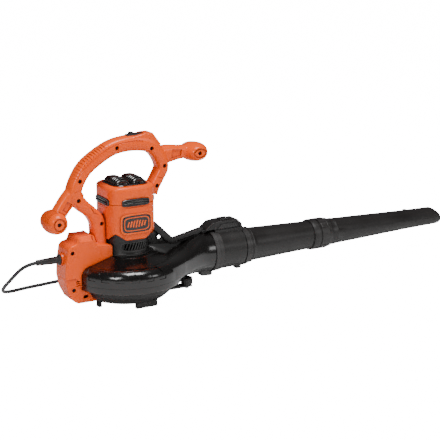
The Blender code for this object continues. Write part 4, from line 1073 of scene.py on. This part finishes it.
# Blow tube: a straight matt black tube with stop rings at the sleeve and a ribbed collar at the nozzle joint.
# Faint streaks run along it from the mould.
streaks = moulded("streaked_black_plastic", (0.0115, 0.0098, 0.0096), (0.12, 0.115, 0.115), (0.36, 0.52), bump=0.00008)
streak_nodes = streaks.node_tree
stretch = streak_nodes.nodes.new("ShaderNodeMapping")
stretch.inputs["Scale"].default_value = (0.06, 1.0, 1.0)
streak_noise = streak_nodes.nodes.new("ShaderNodeTexNoise")
streak_noise.inputs["Scale"].default_value = 160
streak_noise.inputs["Detail"].default_value = 4
streak_mix = streak_nodes.nodes.new("ShaderNodeMix")
streak_mix.data_type = "RGBA"
streak_mix.blend_type = "MULTIPLY"
streak_mix.inputs["Factor"].default_value = 0.55
streak_ramp = streak_nodes.nodes.new("ShaderNodeValToRGB")
streak_ramp.color_ramp.elements[0].position = 0.3
streak_ramp.color_ramp.elements[0].color = (0.55, 0.55, 0.55, 1)
streak_ramp.color_ramp.elements[1].position = 0.72
streak_ramp.color_ramp.elements[1].color = (1.5, 1.48, 1.46, 1)
plain_colour = streak_nodes.nodes["Principled BSDF"].inputs["Base Color"].links[0].from_socket
streak_place = streak_nodes.nodes["Texture Coordinate"].outputs["Object"]
streak_nodes.links.new(streak_place, stretch.inputs["Vector"])
streak_nodes.links.new(stretch.outputs["Vector"], streak_noise.inputs["Vector"])
streak_nodes.links.new(streak_noise.outputs["Fac"], streak_ramp.inputs["Fac"])
streak_nodes.links.new(plain_colour, streak_mix.inputs["A"])
streak_nodes.links.new(streak_ramp.outputs["Color"], streak_mix.inputs["B"])
streak_nodes.links.new(streak_mix.outputs["Result"], streak_nodes.nodes["Principled BSDF"].inputs["Base Color"])
tube_profile = [
    (35.8, 250), (35.8, 271.3), (39.5, 271.3), (40, 271.9), (40, 276.2), (39.3, 277), (37.9, 277.4), (37.5, 278),
    (37.5, 281.6),
    (38.4, 282.4), (38.5, 284.6), (37.2, 285.4), (36.3, 288), (35.6, 294), (34.6, 325), (33.6, 355), (32.6, 385),
    (31.6, 415),
    (31.0, 437), (31.0, 440.4), (33.4, 441.2), (33.8, 444), (34.2, 445.4), (34.2, 456), (33.0, 456.4), (33.0, 460),
    (34.2, 460.4), (34.2, 479.4), (33.8, 480), (30.8, 480), (30.8, 448), (28.1, 438), (32.8, 293), (33.0, 283),
    (33.0, 250),
]
tube = turned(tube_profile, 144, (0, tube_height), "X")
clips = []
for k in range(4):
    a = math.radians(45 + 90 * k)
    low = 33.6
    rows = []
    for x, high in ((462, 34.3), (463, 35.0), (477, 35.0), (478, 34.3)):
        outline = [(low, -0.17), (high, -0.16), (high, -0.08), (high, 0), (high, 0.08), (high, 0.16), (low, 0.17),
                   (low, 0.08),
                   (low, 0), (low, -0.08)]
        rows.append([(x, r * math.cos(a + t), tube_height + r * math.sin(a + t)) for r, t in outline])
    clips.append(skin(rows))
fit_out("straight_blow_tube", together([tube] + clips), streaks, "tube", ["blow_tube"], 30)

# Nozzle: a long tapering tube that ends in a slanted oval mouth, pushed into the blow tube.
# A small nub near the mouth takes the accessory.
lean_start = 740
nozzle_end = 793
mouth_bulge = 9
mouth_slant = 6
nozzle_stations = [
    (452, 30.2, 30.2), (478, 30.2, 30.2), (480.4, 30.4, 30.4), (480.5, 32.6, 32.6), (481.2, 33.0, 33.0),
    (489.6, 32.0, 32.0),
    (490.4, 31.4, 31.4), (490.8, 29.9, 29.9), (503, 29.2, 29.2), (504, 29.6, 29.6), (506, 29.6, 29.6),
    (507, 29.0, 28.9),
    (530, 28.4, 28.0), (560, 27.8, 27.2), (595, 26.9, 26.0), (630, 26, 24.7), (665, 25.3, 23.5), (700, 24.6, 22.3),
    (750, 23.8, 21.2), (783, 23.4, 20.5), (785, 23.4, 20.4), (791, 23.4, 20.4), (793, 22.9, 19.9),
]
nozzle_inside = [(793, 21.4, 18.4), (788, 21.2, 18.2), (700, 22.4, 20.1), (560, 25.4, 24.8), (498, 26.6, 26.6),
                 (452, 27.6, 27.6)]
nozzle_rows = []
for x, half_y, half_z in nozzle_stations + nozzle_inside:
    lean = max(0, min(1, (x - lean_start) / (nozzle_end - lean_start)))
    nozzle_rows.append([
        (x + lean * (mouth_bulge * (1 - rise ** 2) - mouth_slant * rise), half_y * across, tube_height + half_z * rise)
        for across, rise in soft_loop(1, 1, 2, 96, 0)])
nub = [[(711 + p * 5, q * 3, tube_height + rise) for p, q in soft_loop(scale, scale, 3, 24, 0)]
       for rise, scale in ((20.5, 1), (23.8, 1), (24.6, 0.75))]
nozzle = together([skin(nozzle_rows, closed=True), skin(nub)])
fit_out("tapered_nozzle", nozzle, streaks, "nozzle_end", ["nozzle"], 30)

# Door knob: the fluted thumb screw that keeps the intake door shut.
# The head is moulded round a stem that passes through the door's lug.
knob_x, knob_y = 121, -32
knob_loop = []
for a in (2 * math.pi * k / 144 for k in range(144)):
    r = 12.5 - 0.45 * (1 - math.cos(18 * a))
    knob_loop.append((r * math.cos(a), r * math.sin(a)))
knob_rows = []
for z, scale in ((20, 0.9), (20.6, 0.96), (21.5, 1), (33.5, 1), (34.6, 0.95), (35, 0.88), (35, 0.5), (34, 0.44),
                 (34, 0.01)):
    knob_rows.append([(knob_x + scale * p, knob_y + scale * q, z) for p, q in knob_loop])
stem_profile = [(0.01, 11.6), (4.2, 11.6), (4.6, 12), (4.6, 15.2), (4.2, 15.6), (3, 15.6), (3, 22), (0.01, 22)]
knob_stem = turned(stem_profile, 40, (knob_x, knob_y))
fit_out("fluted_thumb_screw", together([skin(knob_rows), knob_stem]), matt_black, "knob",
        ["door_knob"], 30)

# Motor, fan and the other inner parts keep their own shapes and take their finish by what they are made of.
# Laminated steel, enamelled copper, carbon and brass show through the vents and the intake.
inner_finishes = {
    "brush_holder_front": brass_metal, "brush_holder_rear": brass_metal, "brush_front": carbon_block,
    "brush_rear": carbon_block,
    "commutator": copper_wire, "field_winding_upper": copper_wire, "field_winding_lower": copper_wire,
}
for name in ("intake_door", "cord_clamp", "switch_body", "impeller", "cooling_fan", "bearing_bracket"):
    inner_finishes[name] = matt_black
for name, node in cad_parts.items():
    if not name.startswith(("plug_blade", "screw_")):
        node.data.materials.clear()
        node.data.materials.append(inner_finishes.get(name, zinc_steel))
